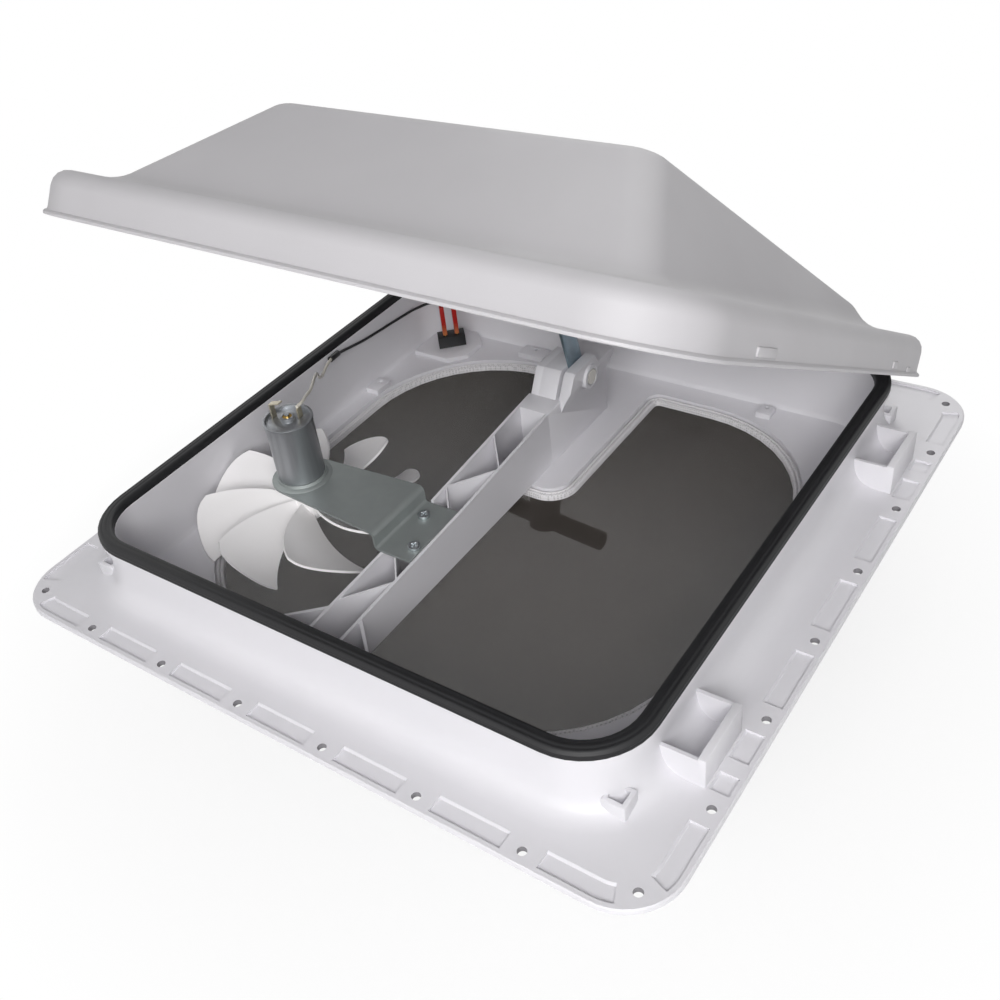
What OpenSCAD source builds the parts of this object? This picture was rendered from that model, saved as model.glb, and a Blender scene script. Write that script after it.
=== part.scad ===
// Roof vent: flanged base with a screened well, a cranked lid, a fan and its wiring.
// Millimetres, +Z up, +Y towards the hinge side; the origin is the centre of the flange's underside.

/* [Roof flange] */
// Side of the square flange
flange_side = 444; // [438:1:470]
// Thickness of the flange
flange_t = 3.5; // [2.5:0.1:5]
// Corner radius of the flange
flange_corner_r = 32; // [20:1:45]
// Diameter of the roof screw holes
screw_hole_d = 5; // [4:0.1:6]
// Distance from the flange edge to the screw line
screw_inset = 7; // [6:0.1:8]
// Pitch of the screw holes along a side
screw_pitch = 60.8; // [56:0.2:64]

/* [Well and collar] */
// Half width of the square well
well_half = 176.5; // [175:0.5:178]
// Corner radius of the well
well_r = 30; // [28:1:34]
// Thickness of the collar above the flange
collar_t = 7; // [6:0.1:8]
// Height of the collar above the flange's underside
collar_top = 39.5; // [36:0.1:39.6]
// Thickness of the wall that goes down through the roof
skirt_t = 3.5; // [2.5:0.1:5]
// Depth of the well floor below the flange's underside
floor_depth = 9; // [7:0.5:12]
// Thickness of the well floor
floor_t = 3; // [2:0.1:5]
// Height of the rubber gasket
gasket_h = 5.2; // [4:0.1:5.3]

/* [Screen] */
// Floor left between the well's wall and the screen opening, across the vent
opening_x = 13.5; // [11:0.5:17]
// Floor left between the well's wall and the screen opening, along the vent
opening_y = 16.5; // [14:0.5:20]
// Corner radius of the screen opening
opening_r = 94.5; // [80:0.5:100]
// Width of the tongue of floor under the operator
tongue_w = 46.5; // [46:0.5:50]
// Width of the screen frame's band inside the opening
frame_band = 5.5; // [4:0.5:9]
// Thickness of the screen frame
frame_t = 3; // [2:0.1:4]
// Number of gaps across the net
net_gaps = 17; // [9:2:17]

/* [Lid] */
// Opening angle of the lid
open_angle = 31.2; // [0:0.2:50]
// Half width of the lid over its lip
lid_half = 194; // [193:0.1:196]
// Height of the lid's skirt
lid_skirt = 24; // [23.9:0.1:27]
// Wall thickness of the lid
lid_t = 2.5; // [2:0.1:2.6]
// Height of the dome's ridge above the lip
ridge_h = 82; // [80:1:95]

/* [Lid operator] */
// Distance of the arm's pivot from the centre
pivot_y = 98.5; // [97:0.5:100]
// Height of the arm's pivot
pivot_z = 37; // [36:0.2:37.4]
// Length of the lift arm
arm_l = 120; // [117:0.5:122]
// Degrees the arm turns for a degree of the lid
arm_ratio = 1.9; // [1.88:0.01:1.94]
// Tilt of the crank's shaft
crank_tilt = 15.4; // [13:0.2:17]
// Length of the crank's cross bar
crank_bar_l = 100; // [80:1:110]

/* [Fan] */
// Distance of the motor's axis from the well's left wall
motor_x = 74; // [73.5:0.5:77.5]
// Place of the motor along the vent
motor_y = -69; // [-74:0.5:-64]
// Radius of the motor's can
can_r = 15; // [14:0.1:16]
// Height of the motor's can
can_h = 40.7; // [38:0.1:44]
// Radius over the fan's blades
fan_r = 73; // [60:0.5:73.5]
// Number of fan blades
blades = 8; // [4:1:9]

/* [View] */
// Which sub-part to draw

/* [Hidden] */
$fn = 64;
// Small step past a face that is cut
eps = 0.5;
// Gap between parts that move past each other
gap = 0.3;
// Gap of a pin in a hole it turns in
run = 0.05;
// Gap of a fixed pin in its hole
slip = 0.02;

white = [0.86, 0.85, 0.87];
zinc = [0.62, 0.65, 0.66];
steel = [0.55, 0.56, 0.58];
black = [0.05, 0.05, 0.06];
navy = [0.07, 0.08, 0.12];
red = [0.72, 0.10, 0.08];
cream = [0.85, 0.82, 0.72];
brass = [0.72, 0.58, 0.28];
copper = [0.68, 0.40, 0.24];

flange_half = flange_side / 2;
screw_line = flange_half - screw_inset;
corner_hole = flange_half - 15.2;
collar_half = well_half + collar_t;
skirt_half = well_half + skirt_t;
floor_top = -floor_depth;
floor_low = floor_top - floor_t;
opening_half_x = well_half - opening_x;
opening_half_y = well_half - opening_y;
rim_out = 9.5;
rim_half = well_half + rim_out;
rim_h = 3;
gasket_out = 9.8;
gasket_half = well_half + gasket_out;
gasket_top = collar_top + gasket_h;

// Place, size and mouth of the open boxes beside the collar
lug_y = 123;
lug_l = 40;
lug_out = collar_half + 24;
lug_wall = 4.5;
lug_end = 2;
lug_floor = 1.5;
lug_top = flange_t + 19.3;
// Sweep where the collar meets the flange, as steps outwards with their heights over the flange
sweep = [[12, 0.8], [7.5, 2.2], [4.4, 4.2], [2.2, 8.5]];
// Small open boxes at the collar's corners
fin_x = [collar_half - 11.5, collar_half + 1.5];
fin_y = [collar_half - 18, collar_half - 5];
fin_wall = 2.5;
fin_floor = 4;
fin_top = flange_t + 10;
// Band of pockets in the flange and the lands that are left across it
pocket_edge = 3;
pocket_in = 14;
pocket_deep = 1.5;
land_w = 20;
land_l = 40;
split_at = 125.4;
split_w = 9.4;

// Place and sizes of the hinge
hinge_y = lid_half + 9.4;
hinge_z = 32.5;
hinge_x = 120;
hinge_pin_r = 2.5;
knuckle_r = 6;
knuckle_l = 24;
ear_t = 4;
lip_z = hinge_z - 9;

// Corner radii and flare of the lid
lid_front_r = 48;
lid_back_r = 12;
lip_flare = 2.5;
lip_h = 3;
// Dome measured from the lid's back edge and from its lip
dome_half = 160;
dome_back = 25;
dome_front = lid_half * 2 - 34;
ridge_v = 283;
ridge_half = 115;
step_v = 40;
step_h = 13;
// Rise of the dome's sides for a step inwards
side_run = (dome_half - ridge_half) / (ridge_h - lid_skirt);

// Cross beam, placed by the room that it leaves for the fan
fan_room = 166;
beam_x = fan_room - well_half;
beam_half = 12;
beam_wall = 2;
beam_front = -well_half + 0.1;
beam_back = 56;
beam_low_z = 16.8;
beam_mid_y = -43;
beam_mid_z = 22.9;
beam_end_z = 30.8;
gusset_y = -141;
gusset_x = 36;
// Zigzag of webs between the beam's walls
web_first = -137;
web_step = 27;
web_count = 6;
web_t = 1.6;
web_drop = 0.6;

// Tongue of floor under the operator
tongue_x = beam_x + 8.8;
tongue_front = 31;
tongue_r = 14;

// Operator tower
tower_x = beam_x - 10.5;
tower_w = 29;
tower_foot = pivot_y - 27.5;
tower_front = pivot_y - 20;
tower_back = pivot_y + 31.5;
tower_top = pivot_z + 11.5;
block_top = pivot_z + 4.5;
cover_t = 5.7;
cover_x = tower_x + cover_t;
cheek_low = beam_end_z - 8;
foot_rise = 1.2;
housing_wall = 2.5;
boss_r = 8.5;
boss_t = 2;

// Arm, its gear and its roller
arm_x = beam_x + 8.5;
arm_t = 2;
arm_eye_r = 8;
arm_tip_r = 6;
rest_angle = 31.2;
arm_rest = 75;
arm_angle = arm_rest + arm_ratio * (open_angle - rest_angle);
lid_travel = 50;
pin_r = 3;
gear_x = beam_x - 4;
gear_w = 8;
gear_r = 9;
gear_root = 7.4;
gear_teeth = 20;
hub_r = 5;
worm_r = 4.3;
worm_throw = 0.7;
worm_lead = 3;
worm_l = 11;
mesh_l = gear_r + worm_r + gap;
worm_y = pivot_y - mesh_l * cos(crank_tilt);
worm_z = pivot_z + mesh_l * sin(crank_tilt);
roller_r = 4;
roller_w = 5.6;
roller_pin_r = 2;
slot_r = roller_r + 0.35;
rail_x = arm_x + arm_t + 0.8;
rail_t = 5;
rail_steps = 20;
rail_under = 4;

// Crank, measured down its shaft from the worm
shaft_r = 4;
shaft_thin_r = 2;
floor_s = (floor_top - floor_t / 2 - worm_z) / cos(crank_tilt);
stem_top = floor_s - 8.5;
stem_l = 50;
stem_r = 12;
stem_low_r = 10;
bar_r = 6.5;
bar_turn = -7.5;
bush_r = 8;

// Motor bracket
sheet_t = 1.5;
foot_z = 20.5;
foot_x = [beam_x - 13.5, beam_x + beam_half - beam_wall - gap];
foot_half = 25;
bend_x = beam_x - 16.5;
plate_z = 32;
plate_end_r = 22;
seat_h = 3;
seat_z = plate_z + sheet_t;
can_z = seat_z + seat_h;
can_top = can_z + can_h;
bracket_screws_at = [[beam_x - 7, 12], [beam_x + 5, -14]];
screw_r = 1.5;

// Motor inside
can_wall = 1;
shaft_motor_r = 1.5;
motor_screw_at = 9;

// Fan
motor_at = [motor_x - well_half, motor_y];
fan_low = 2;
fan_hub_r = 9;
fan_hub_top = 26;
blade_z = 12.2;
blade_t = 2;
blade_tilt = 27;
blade_span = 33;
blade_start = -101.5;
blade_h = 20.5;

// Switch
switch_at = [26.2 - well_half, well_half - 22.9];
switch_turn = 42;
switch_l = 21;
switch_w = 11;
switch_top = 3.5;
plate_at = [26 - well_half, well_half - 22.5];
plate_half = 21.5;
plate_cut = 12;
plate_gap = 0.5;
plate_t = 3.5;
rocker_r = 7;
rocker_w = 6;
rocker_z = floor_low;
rocker_tilt = 9;
rocker_pin_r = 1.2;
sleeve_gap = 4.6;
sleeve_l = 24;
sleeve = [3.4, 8];
blade_tab = [6.3, 0.8, 14];

// Routes of the wires, motor end first, from the well's left and back walls
left = -well_half;
back = well_half;
white_route = [
    [left + 79, -64, can_top + 6.1], [left + 78, -58, can_top + 6], [left + 72.5, -50, can_top + 3],
    [left + 64.5, -37, can_top - 1.5], [left + 54.5, -24, can_top - 5.5], [left + 43.5, -11, can_top - 11.5],
    [left + 33.5, 0, 57.5], [left + 24.5, 10, 46.7], [left + 17.5, 20, 42.2], [left + 11.5, 31, 41.5],
    [left + 7.5, 41, 40.5]];
black_route = [
    [left + 6, 47, 39.5], [left + 4.9, 56, 37.5], [left + 4.1, 67, 35], [left + 3.5, 80, 32.5],
    [left + 3, 95, 30.5], [left + 4.5, back - 54.5, 29], [left + 9.5, back - 36, 29.8],
    [left + 16, back - 27.5, 30.4], [left + 22.8, back - 26, 29.6]];
wire_r = 1;
wire_sides = 8;

// Square with rounded corners, given by its half sides
module rounded(hx, hy, r) {
    square([2 * hx, 2 * (hy - r)], center = true);
    square([2 * (hx - r), 2 * hy], center = true);
    for (sx = [-1, 1])
        for (sy = [-1, 1])
            translate([sx * (hx - r), sy * (hy - r)])
                circle(r);
}

// Plate between two heights
module slab(z0, z1) {
    translate([0, 0, z0])
        linear_extrude(z1 - z0)
            children();
}

// Flat outline in Y and Z, made t thick along X from x0
module in_yz(x0, t) {
    translate([x0, 0, 0])
        rotate([90, 0, 90])
            linear_extrude(t)
                children();
}

// Cylinder along X from x0
module bar_x(x0, l, r, y, z) {
    translate([x0, y, z])
        rotate([0, 90, 0])
            cylinder(h = l, r = r);
}

// Lid pieces are drawn closed and turned about the hinge
module opened() {
    translate([0, hinge_y, hinge_z])
        rotate([-open_angle, 0, 0])
            translate([0, -hinge_y, -hinge_z])
                children();
}

// Z runs up the crank's shaft and is zero where the worm meets its wheel
module along_crank() {
    translate([beam_x, worm_y, worm_z])
        rotate([-crank_tilt, 0, 0])
            children();
}

// Outline in the arm's plane with X along the arm from the pivot
module along_arm(x0, t) {
    in_yz(x0, t)
        translate([pivot_y, pivot_z])
            rotate(180 - arm_angle)
                children();
}

module at_motor() {
    translate(motor_at)
        children();
}

module at_switch() {
    translate(switch_at)
        rotate(switch_turn)
            children();
}

module box(x, y, z) {
    translate([x[0], y[0], z[0]])
        cube([x[1] - x[0], y[1] - y[0], z[1] - z[0]]);
}

// Opening in the floor, with the tongue left standing
module opening_2d(inset) {
    difference() {
        rounded(opening_half_x - inset, opening_half_y - inset, opening_r - inset);
        tongue_2d(inset);
    }
}

// Tongue with a rounded front, grown all round
module tongue_2d(grow) {
    half = tongue_w / 2 + grow;
    r = tongue_r + grow;
    front = tongue_front - grow;
    for (s = [-1, 1])
        translate([tongue_x + s * (half - r), front + r])
            circle(r);
    translate([tongue_x - half, front + r])
        square([2 * half, opening_half_y - front - r + 1]);
    translate([tongue_x - half + r, front])
        square([2 * (half - r), r + 1]);
}

module screw_holes() {
    for (side = [0:3])
        rotate(90 * side)
            for (i = [-2.5:1:2.5])
                translate([i * screw_pitch, screw_line, -eps])
                    cylinder(h = flange_t + 2 * eps, d = screw_hole_d);
    for (sx = [-1, 1])
        for (sy = [-1, 1])
            translate([sx * corner_hole, sy * corner_hole, -eps])
                cylinder(h = flange_t + 2 * eps, d = screw_hole_d);
}

// Square with the flange's rounded corners, some way in from its edge
module flange_2d(inset) {
    rounded(flange_half - inset, flange_half - inset, flange_corner_r - inset);
}

// Shallow band of pockets round the flange, with a land at each screw hole
module flange_pockets() {
    slab(flange_t - pocket_deep, flange_t + eps)
        difference() {
            flange_2d(pocket_edge);
            flange_2d(pocket_in);
            for (side = [0:3])
                rotate(90 * side) {
                    for (i = [-2.5:1:2.5])
                        translate([i * screw_pitch, screw_line])
                            square([land_w, land_l], center = true);
                    translate([corner_hole, corner_hole])
                        rotate(45)
                            square([land_l, land_w], center = true);
                }
            for (sx = [-1, 1])
                for (sy = [-1, 1])
                    translate([sx * screw_line, sy * split_at])
                        square([land_l, split_w], center = true);
        }
}

module lugs() {
    for (sx = [-1, 1])
        for (sy = [-1, 1])
            scale([sx, sy, 1])
                difference() {
                    box([collar_half - 1, lug_out], [lug_y - lug_l / 2, lug_y + lug_l / 2],
                        [flange_t / 2, lug_top]);
                    box([collar_half, lug_out - lug_wall],
                        [lug_y - lug_l / 2 + lug_end, lug_y + lug_l / 2 - lug_end],
                        [flange_t + lug_floor, lug_top + eps]);
                }
}

// Small open boxes at the collar's corners
module corner_fins() {
    wall = [fin_wall, -fin_wall];
    for (sx = [-1, 1])
        for (sy = [-1, 1])
            scale([sx, sy, 1])
                difference() {
                    box(fin_x, fin_y, [flange_t / 2, fin_top]);
                    box(fin_x + wall, fin_y + wall, [flange_t + fin_floor, fin_top + eps]);
                }
}

module hinge_ears() {
    for (x = [-hinge_x, hinge_x])
        for (s = [-1, 1])
            in_yz(x + s * (knuckle_l / 2 + gap + ear_t / 2) - ear_t / 2, ear_t) {
                translate([hinge_y, hinge_z])
                    circle(knuckle_r);
                translate([hinge_y - knuckle_r, flange_t / 2])
                    square([2 * knuckle_r, hinge_z - flange_t / 2]);
            }
}

module base_frame() color(white) {
    difference() {
        union() {
            difference() {
                slab(0, flange_t)
                    flange_2d(0);
                flange_pockets();
            }
            slab(floor_low, flange_t)
                rounded(skirt_half, skirt_half, well_r + skirt_t);
            slab(0, collar_top)
                rounded(collar_half, collar_half, well_r + collar_t);
            for (s = sweep)
                slab(0, flange_t + s[1])
                    rounded(collar_half + s[0], collar_half + s[0], well_r + collar_t + s[0]);
            slab(collar_top - rim_h, collar_top)
                rounded(rim_half, rim_half, well_r + rim_out);
            lugs();
            corner_fins();
            hinge_ears();
        }
        slab(floor_top, collar_top + eps)
            rounded(well_half, well_half, well_r);
        slab(floor_low - eps, floor_top + eps)
            opening_2d(0);
        screw_holes();
        along_crank()
            translate([0, 0, floor_s - 12])
                cylinder(h = 24, r = bush_r + slip);
        at_switch()
            slab(floor_low - eps, floor_top + eps)
                square([switch_l + 0.2, switch_w + 0.2], center = true);
        for (s = [-1, 1])
            bar_x(s * hinge_x - knuckle_l, 2 * knuckle_l, hinge_pin_r + slip, hinge_y, hinge_z);
    }
}

module rim_gasket() color(black) {
    slab(collar_top, gasket_top)
        difference() {
            rounded(gasket_half, gasket_half, well_r + gasket_out);
            rounded(well_half, well_half, well_r);
        }
}

// Beam seen from the side, with its top lowered
module beam_side(drop) {
    polygon([[beam_front, floor_top], [beam_back, floor_top], [beam_back, beam_end_z - drop],
        [beam_mid_y, beam_mid_z - drop], [beam_front, beam_low_z - drop]]);
}

// Slanting web between the beam's walls, from one wall to the other
module beam_web(i) {
    y0 = web_first + i * web_step;
    y1 = y0 + web_step;
    side = i % 2 == 0 ? 1 : -1;
    reach = beam_half - beam_wall / 2;
    polygon([[beam_x - side * reach, y0], [beam_x - side * reach, y0 + web_t],
        [beam_x + side * reach, y1 + web_t], [beam_x + side * reach, y1]]);
}

module beam_gusset(side) {
    x0 = beam_x + side * (beam_half - 1);
    polygon([[x0, gusset_y], [x0, gusset_y - 3], [x0 + side * gusset_x, beam_front],
        [x0 + side * (gusset_x + 2), beam_front]]);
}

module cross_beam() color(white) {
    difference() {
        union() {
            in_yz(beam_x - beam_half, beam_wall)
                beam_side(0);
            in_yz(beam_x + beam_half - beam_wall, beam_wall)
                beam_side(0);
            intersection() {
                slab(floor_top, beam_end_z)
                    for (i = [0:web_count - 1])
                        beam_web(i);
                in_yz(beam_x - beam_half, 2 * beam_half)
                    beam_side(web_drop);
            }
            slab(floor_top, beam_low_z + 1)
                for (side = [-1, 1])
                    beam_gusset(side);
            for (p = bracket_screws_at)
                translate([p[0], motor_y + p[1], floor_top])
                    cylinder(h = foot_z - floor_top, r = 5.5);
        }
        box([beam_x - beam_half - eps, beam_x + beam_half - beam_wall],
            [motor_y - foot_half - 1, motor_y + foot_half + 1], [foot_z, foot_z + 20]);
        for (p = bracket_screws_at)
            translate([p[0], motor_y + p[1], foot_z - 12])
                cylinder(h = 13, r = screw_r + slip);
    }
}

module tower_side() {
    polygon([[tower_foot, floor_top], [tower_foot, beam_end_z + foot_rise], [tower_front, tower_top - 2.5],
        [tower_front + 2.5, tower_top],
        [pivot_y + 8, tower_top], [pivot_y + 11.5, block_top], [tower_back, block_top],
        [tower_back, floor_top]]);
}

// Tower seen from the front, its right cheek leaning out from the beam's side
module tower_front_2d() {
    side = beam_x + beam_half;
    right = tower_x + tower_w;
    polygon([[cover_x, floor_top], [side, floor_top], [side, cheek_low], [right, pivot_z], [right, tower_top],
        [cover_x, tower_top]]);
}

// Room the arm needs between its closed and fully open places
module arm_room() {
    translate([pivot_y, pivot_z]) {
        circle(arm_eye_r + 0.6);
        polygon([[-29, -5], [-3.5, -8.6], [3.5, -8.6], [10.2, 0], [16, 14], [-29, 14]]);
    }
}

module operator_housing() color(white) {
    difference() {
        union() {
            in_yz(beam_x - beam_half, 2 * beam_half)
                polygon([[beam_back, floor_top], [beam_back, beam_end_z],
                    [tower_foot, beam_end_z + foot_rise], [tower_foot, floor_top]]);
            intersection() {
                in_yz(cover_x, tower_x + tower_w - cover_x)
                    tower_side();
                translate([0, tower_back, 0])
                    rotate([90, 0, 0])
                        linear_extrude(tower_back - tower_foot)
                            tower_front_2d();
            }
            bar_x(beam_x + beam_half - 1, tower_x + tower_w + boss_t - beam_x - beam_half + 1, boss_r,
                pivot_y, pivot_z);
        }
        in_yz(arm_x - gap, arm_t + 2 * gap)
            arm_room();
        bar_x(cover_x - eps, gear_x + gear_w + gap - cover_x + eps, gear_r + 0.6, pivot_y, pivot_z);
        bar_x(gear_x, arm_x - gear_x, hub_r + gap, pivot_y, pivot_z);
        bar_x(cover_x - eps, tower_w + boss_t, pin_r + run, pivot_y, pivot_z);
        bar_x(tower_x + tower_w, boss_t + eps, pin_r + 3, pivot_y, pivot_z);
        along_crank() {
            translate([0, 0, -9])
                cylinder(h = 15.5, r = worm_r + 0.5);
            translate([0, 0, floor_s - 17])
                cylinder(h = 17 - floor_s, r = shaft_r + gap);
        }
        box([cover_x + 4, beam_x + beam_half - housing_wall], [pivot_y + 14, tower_back - housing_wall],
            [floor_top - eps, block_top - housing_wall]);
    }
}

module operator_cover() color(white) {
    difference() {
        in_yz(tower_x, cover_t)
            tower_side();
        bar_x(tower_x + 1.5, cover_t, pin_r + run, pivot_y, pivot_z);
    }
}

module crank_bushing() color(white) {
    difference() {
        along_crank()
            translate([0, 0, floor_s - 6])
                difference() {
                    cylinder(h = 20, r = bush_r);
                    translate([0, 0, -eps])
                        cylinder(h = 22, r = shaft_r + run);
                }
        box([beam_x - 20, beam_x + 20], [0, 120], [floor_top, floor_top + 40]);
    }
}

module screen_frame() color(white) {
    under = 5;
    slab(floor_low - frame_t, floor_low)
        difference() {
            rounded(opening_half_x + 8, opening_half_y + 8, opening_r + 8);
            opening_2d(frame_band);
            tongue_2d(-under);
        }
}

// Gaps of the net that lie clear of the outline
function in_net(x, y, half) =
    let (hx = opening_half_x - frame_band, hy = opening_half_y - frame_band, r = opening_r - frame_band)
    let (qx = max(abs(x) + half - (hx - r), 0), qy = max(abs(y) + half - (hy - r), 0))
    let (clear = tongue_w / 2 + frame_band + half + 2)
    let (off_tongue = abs(x - tongue_x) > clear || y < tongue_front + tongue_w / 2 - clear)
    sqrt(qx * qx + qy * qy) < r - 2 && off_tongue;

function square_at(x, y, half) =
    [[x - half, y - half], [x + half, y - half], [x + half, y + half], [x - half, y + half]];

module insect_screen() color(black) {
    margin = frame_band + 3;
    pitch_x = 2 * (opening_half_x - margin) / net_gaps;
    pitch_y = 2 * (opening_half_y - margin) / net_gaps;
    half = pitch_y * 0.4;
    reach = (net_gaps - 1) / 2;
    cells = [for (i = [-reach:reach]) for (j = [-reach:reach])
        if (in_net(i * pitch_x, j * pitch_y, half)) square_at(i * pitch_x, j * pitch_y, half)];
    slab(floor_low - frame_t - 0.4, floor_low - frame_t)
        difference() {
            opening_2d(frame_band - 3);
            polygon([for (c = cells) for (p = c) p],
                [for (k = [0:len(cells) - 1]) [for (m = [0:3]) 4 * k + m]]);
        }
}

// Small moulded catches that stand on the floor round the screen
module screen_clips() color(white) {
    edge = well_half - 8.5;
    for (p = [[-edge, 81, 11, 16], [-83, edge, 22, 12], [103, edge - 2, 10, 10], [edge, -20, 9, 16]])
        translate([p[0], p[1], 0])
            slab(floor_top, floor_top + 4)
                difference() {
                    square([p[2], p[3]], center = true);
                    translate([0, 3])
                        circle(1.5);
                }
}

// Seat in the well's corner, with its two free corners cut off
module plate_2d() {
    inner = plate_half - plate_cut;
    intersection() {
        translate(plate_at)
            polygon([[plate_half, inner], [inner, plate_half], [-plate_half, plate_half],
                [-plate_half, -plate_half], [inner, -plate_half], [plate_half, -inner]]);
        rounded(well_half - plate_gap, well_half - plate_gap, well_r - plate_gap);
    }
}

module switch_plate() color(white) {
    difference() {
        slab(floor_top, floor_top + plate_t)
            plate_2d();
        at_switch()
            slab(floor_top - eps, floor_top + plate_t + eps)
                square([switch_l + 0.2, switch_w + 0.2], center = true);
    }
}

module switch_body() color(black) {
    at_switch()
        difference() {
            union() {
                slab(floor_low, switch_top)
                    square([switch_l, switch_w], center = true);
                slab(floor_low - 2, floor_low)
                    square([switch_l + 5, switch_w + 4], center = true);
            }
            slab(floor_low - 2 - eps, rocker_z + 6)
                square([2 * rocker_r + 1, rocker_w + 0.8], center = true);
            translate([0, switch_w / 2 - 1, rocker_z])
                rotate([90, 0, 0])
                    cylinder(h = switch_w - 2, r = rocker_pin_r + run);
        }
}

module switch_rocker() color(black) {
    at_switch()
        translate([0, 0, rocker_z])
            rotate([0, -rocker_tilt, 0]) {
                intersection() {
                    rotate([90, 0, 0])
                        cylinder(h = rocker_w, r = rocker_r, center = true);
                    slab(-5, 2)
                        square([4 * rocker_r, 2 * rocker_w], center = true);
                }
                rotate([90, 0, 0])
                    cylinder(h = switch_w - 2.4, r = rocker_pin_r, center = true);
            }
}

module switch_blades() color(brass) {
    at_switch()
        for (s = [-1, 1])
            translate([s * sleeve_gap, 0, 0])
                slab(switch_top, switch_top + blade_tab[2])
                    square([blade_tab[1], blade_tab[0]], center = true);
}

module spade_sleeves() color(red) {
    at_switch()
        for (s = [-1, 1])
            translate([s * sleeve_gap, 0, 0])
                difference() {
                    slab(switch_top + 1, switch_top + 1 + sleeve_l)
                        square(sleeve, center = true);
                    slab(switch_top, switch_top + blade_tab[2] + 1)
                        square([blade_tab[1] + 0.2, blade_tab[0] + 0.2], center = true);
                }
}

module motor_bracket() color(zinc) {
    difference() {
        union() {
            box(foot_x, [motor_y - foot_half, motor_y + foot_half], [foot_z, foot_z + sheet_t]);
            box([bend_x, bend_x + sheet_t], [motor_y - foot_half, motor_y + foot_half],
                [foot_z, plate_z + sheet_t]);
            box([bend_x, foot_x[0] + sheet_t], [motor_y - foot_half, motor_y + foot_half],
                [foot_z, foot_z + sheet_t]);
            slab(plate_z, plate_z + sheet_t) {
                polygon([[bend_x + sheet_t, motor_y - foot_half], [bend_x + sheet_t, motor_y + foot_half],
                    motor_at + [0, plate_end_r], motor_at - [0, plate_end_r]]);
                translate(motor_at)
                    circle(plate_end_r);
            }
            translate([motor_at[0], motor_y, seat_z])
                cylinder(h = seat_h, r1 = can_r + 4, r2 = can_r + 1.5);
        }
        at_motor() {
            translate([0, 0, plate_z - eps])
                cylinder(h = seat_h + sheet_t + 2 * eps, r = 6);
            for (s = [-1, 1])
                translate([0, s * motor_screw_at, plate_z - eps])
                    cylinder(h = seat_h + sheet_t + 2 * eps, r = screw_r + slip);
        }
        for (p = bracket_screws_at)
            translate([p[0], motor_y + p[1], foot_z - eps])
                cylinder(h = sheet_t + 2 * eps, r = screw_r + 0.2);
    }
}

// Pan-head screw with a cross recess, head up, seat at zero
module pan_screw(shank_l, head_r, head_h) {
    difference() {
        union() {
            cylinder(h = head_h, r = head_r);
            translate([0, 0, -shank_l])
                cylinder(h = shank_l, r = screw_r);
        }
        for (a = [0, 90])
            rotate(a)
                translate([-head_r * 0.55, -0.5, head_h - 1.2])
                    cube([head_r * 1.1, 1, 2]);
    }
}

module bracket_screws() color(steel) {
    for (p = bracket_screws_at)
        translate([p[0], motor_y + p[1], foot_z + sheet_t])
            pan_screw(12, 3.8, 2.4);
}

module motor_can() color(steel) {
    at_motor()
        difference() {
            union() {
                translate([0, 0, can_z])
                    cylinder(h = can_h, r = can_r);
                translate([0, 0, can_z - 4])
                    cylinder(h = 5, r = 5);
                translate([0, 0, can_top - 1.5])
                    cylinder(h = 1.5, r = can_r + 0.6);
            }
            translate([0, 0, can_z + can_wall])
                cylinder(h = can_h, r = can_r - can_wall);
            translate([0, 0, can_z - 5])
                cylinder(h = 10, r = 3);
            for (s = [-1, 1])
                translate([0, s * motor_screw_at, can_z - eps])
                    cylinder(h = 3, r = screw_r + slip);
        }
}

module motor_end_cap() color(steel) {
    at_motor()
        difference() {
            union() {
                translate([0, 0, can_top - 3.5])
                    cylinder(h = 2, r = can_r - can_wall - slip);
                translate([0, 0, can_top - 1.5])
                    cylinder(h = 2.8, r = 4.6);
            }
            translate([0, 0, can_top - 4])
                cylinder(h = 6, r = 3);
            for (p = [[-10.5, -1], [5, 6]])
                translate([p[0], p[1], can_top - 4])
                    linear_extrude(4)
                        square([1.4, 4.4], center = true);
        }
}

module motor_magnets() color(black) {
    at_motor()
        slab(can_z + 6, can_z + 32)
            for (s = [0, 180])
                rotate(s)
                    intersection() {
                        difference() {
                            circle(can_r - can_wall - slip);
                            circle(can_r - can_wall - 3);
                        }
                        translate([can_r, 0])
                            square([2 * can_r, 1.4 * can_r], center = true);
                    }
}

module motor_bushes() color(brass) {
    at_motor()
        for (z = [can_z - 4, can_top - 3.5])
            translate([0, 0, z])
                difference() {
                    cylinder(h = 4.5, r = 3 - slip);
                    translate([0, 0, -eps])
                        cylinder(h = 6, r = shaft_motor_r + run);
                }
}

module motor_brushes() color(black) {
    at_motor()
        for (s = [-1, 1])
            translate([s * (4 + gap + 2), 0, can_top - 6.5])
                cube([4, 3, 6], center = true);
}

// Left terminal stands up and hooks back over the cap, the right one stands beside the bearing
module motor_terminals() color(cream) {
    tab_t = 1;
    tab_w = 4;
    tab_foot = can_top - 4.5;
    bend = can_top + 8;
    hook_reach = 8.5;
    hook_rise = 2.8;
    at_motor() {
        translate([-10.5, tab_w / 2 - 1, 0])
            rotate([90, 0, 0])
                linear_extrude(tab_w)
                    polygon([
                        [-tab_t / 2, tab_foot], [tab_t / 2, tab_foot], [tab_t / 2, bend - tab_t],
                        [hook_reach, bend + hook_rise - tab_t], [hook_reach, bend + hook_rise], [-tab_t / 2, bend]]);
        translate([5, 6, 0])
            slab(tab_foot, can_top + 5)
                square([tab_t, tab_w], center = true);
    }
}

module motor_screws() color(steel) {
    at_motor()
        for (s = [-1, 1])
            translate([0, s * motor_screw_at, plate_z])
                mirror([0, 0, 1])
                    pan_screw(seat_h + sheet_t + can_wall, 2.8, 1.8);
}

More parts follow.
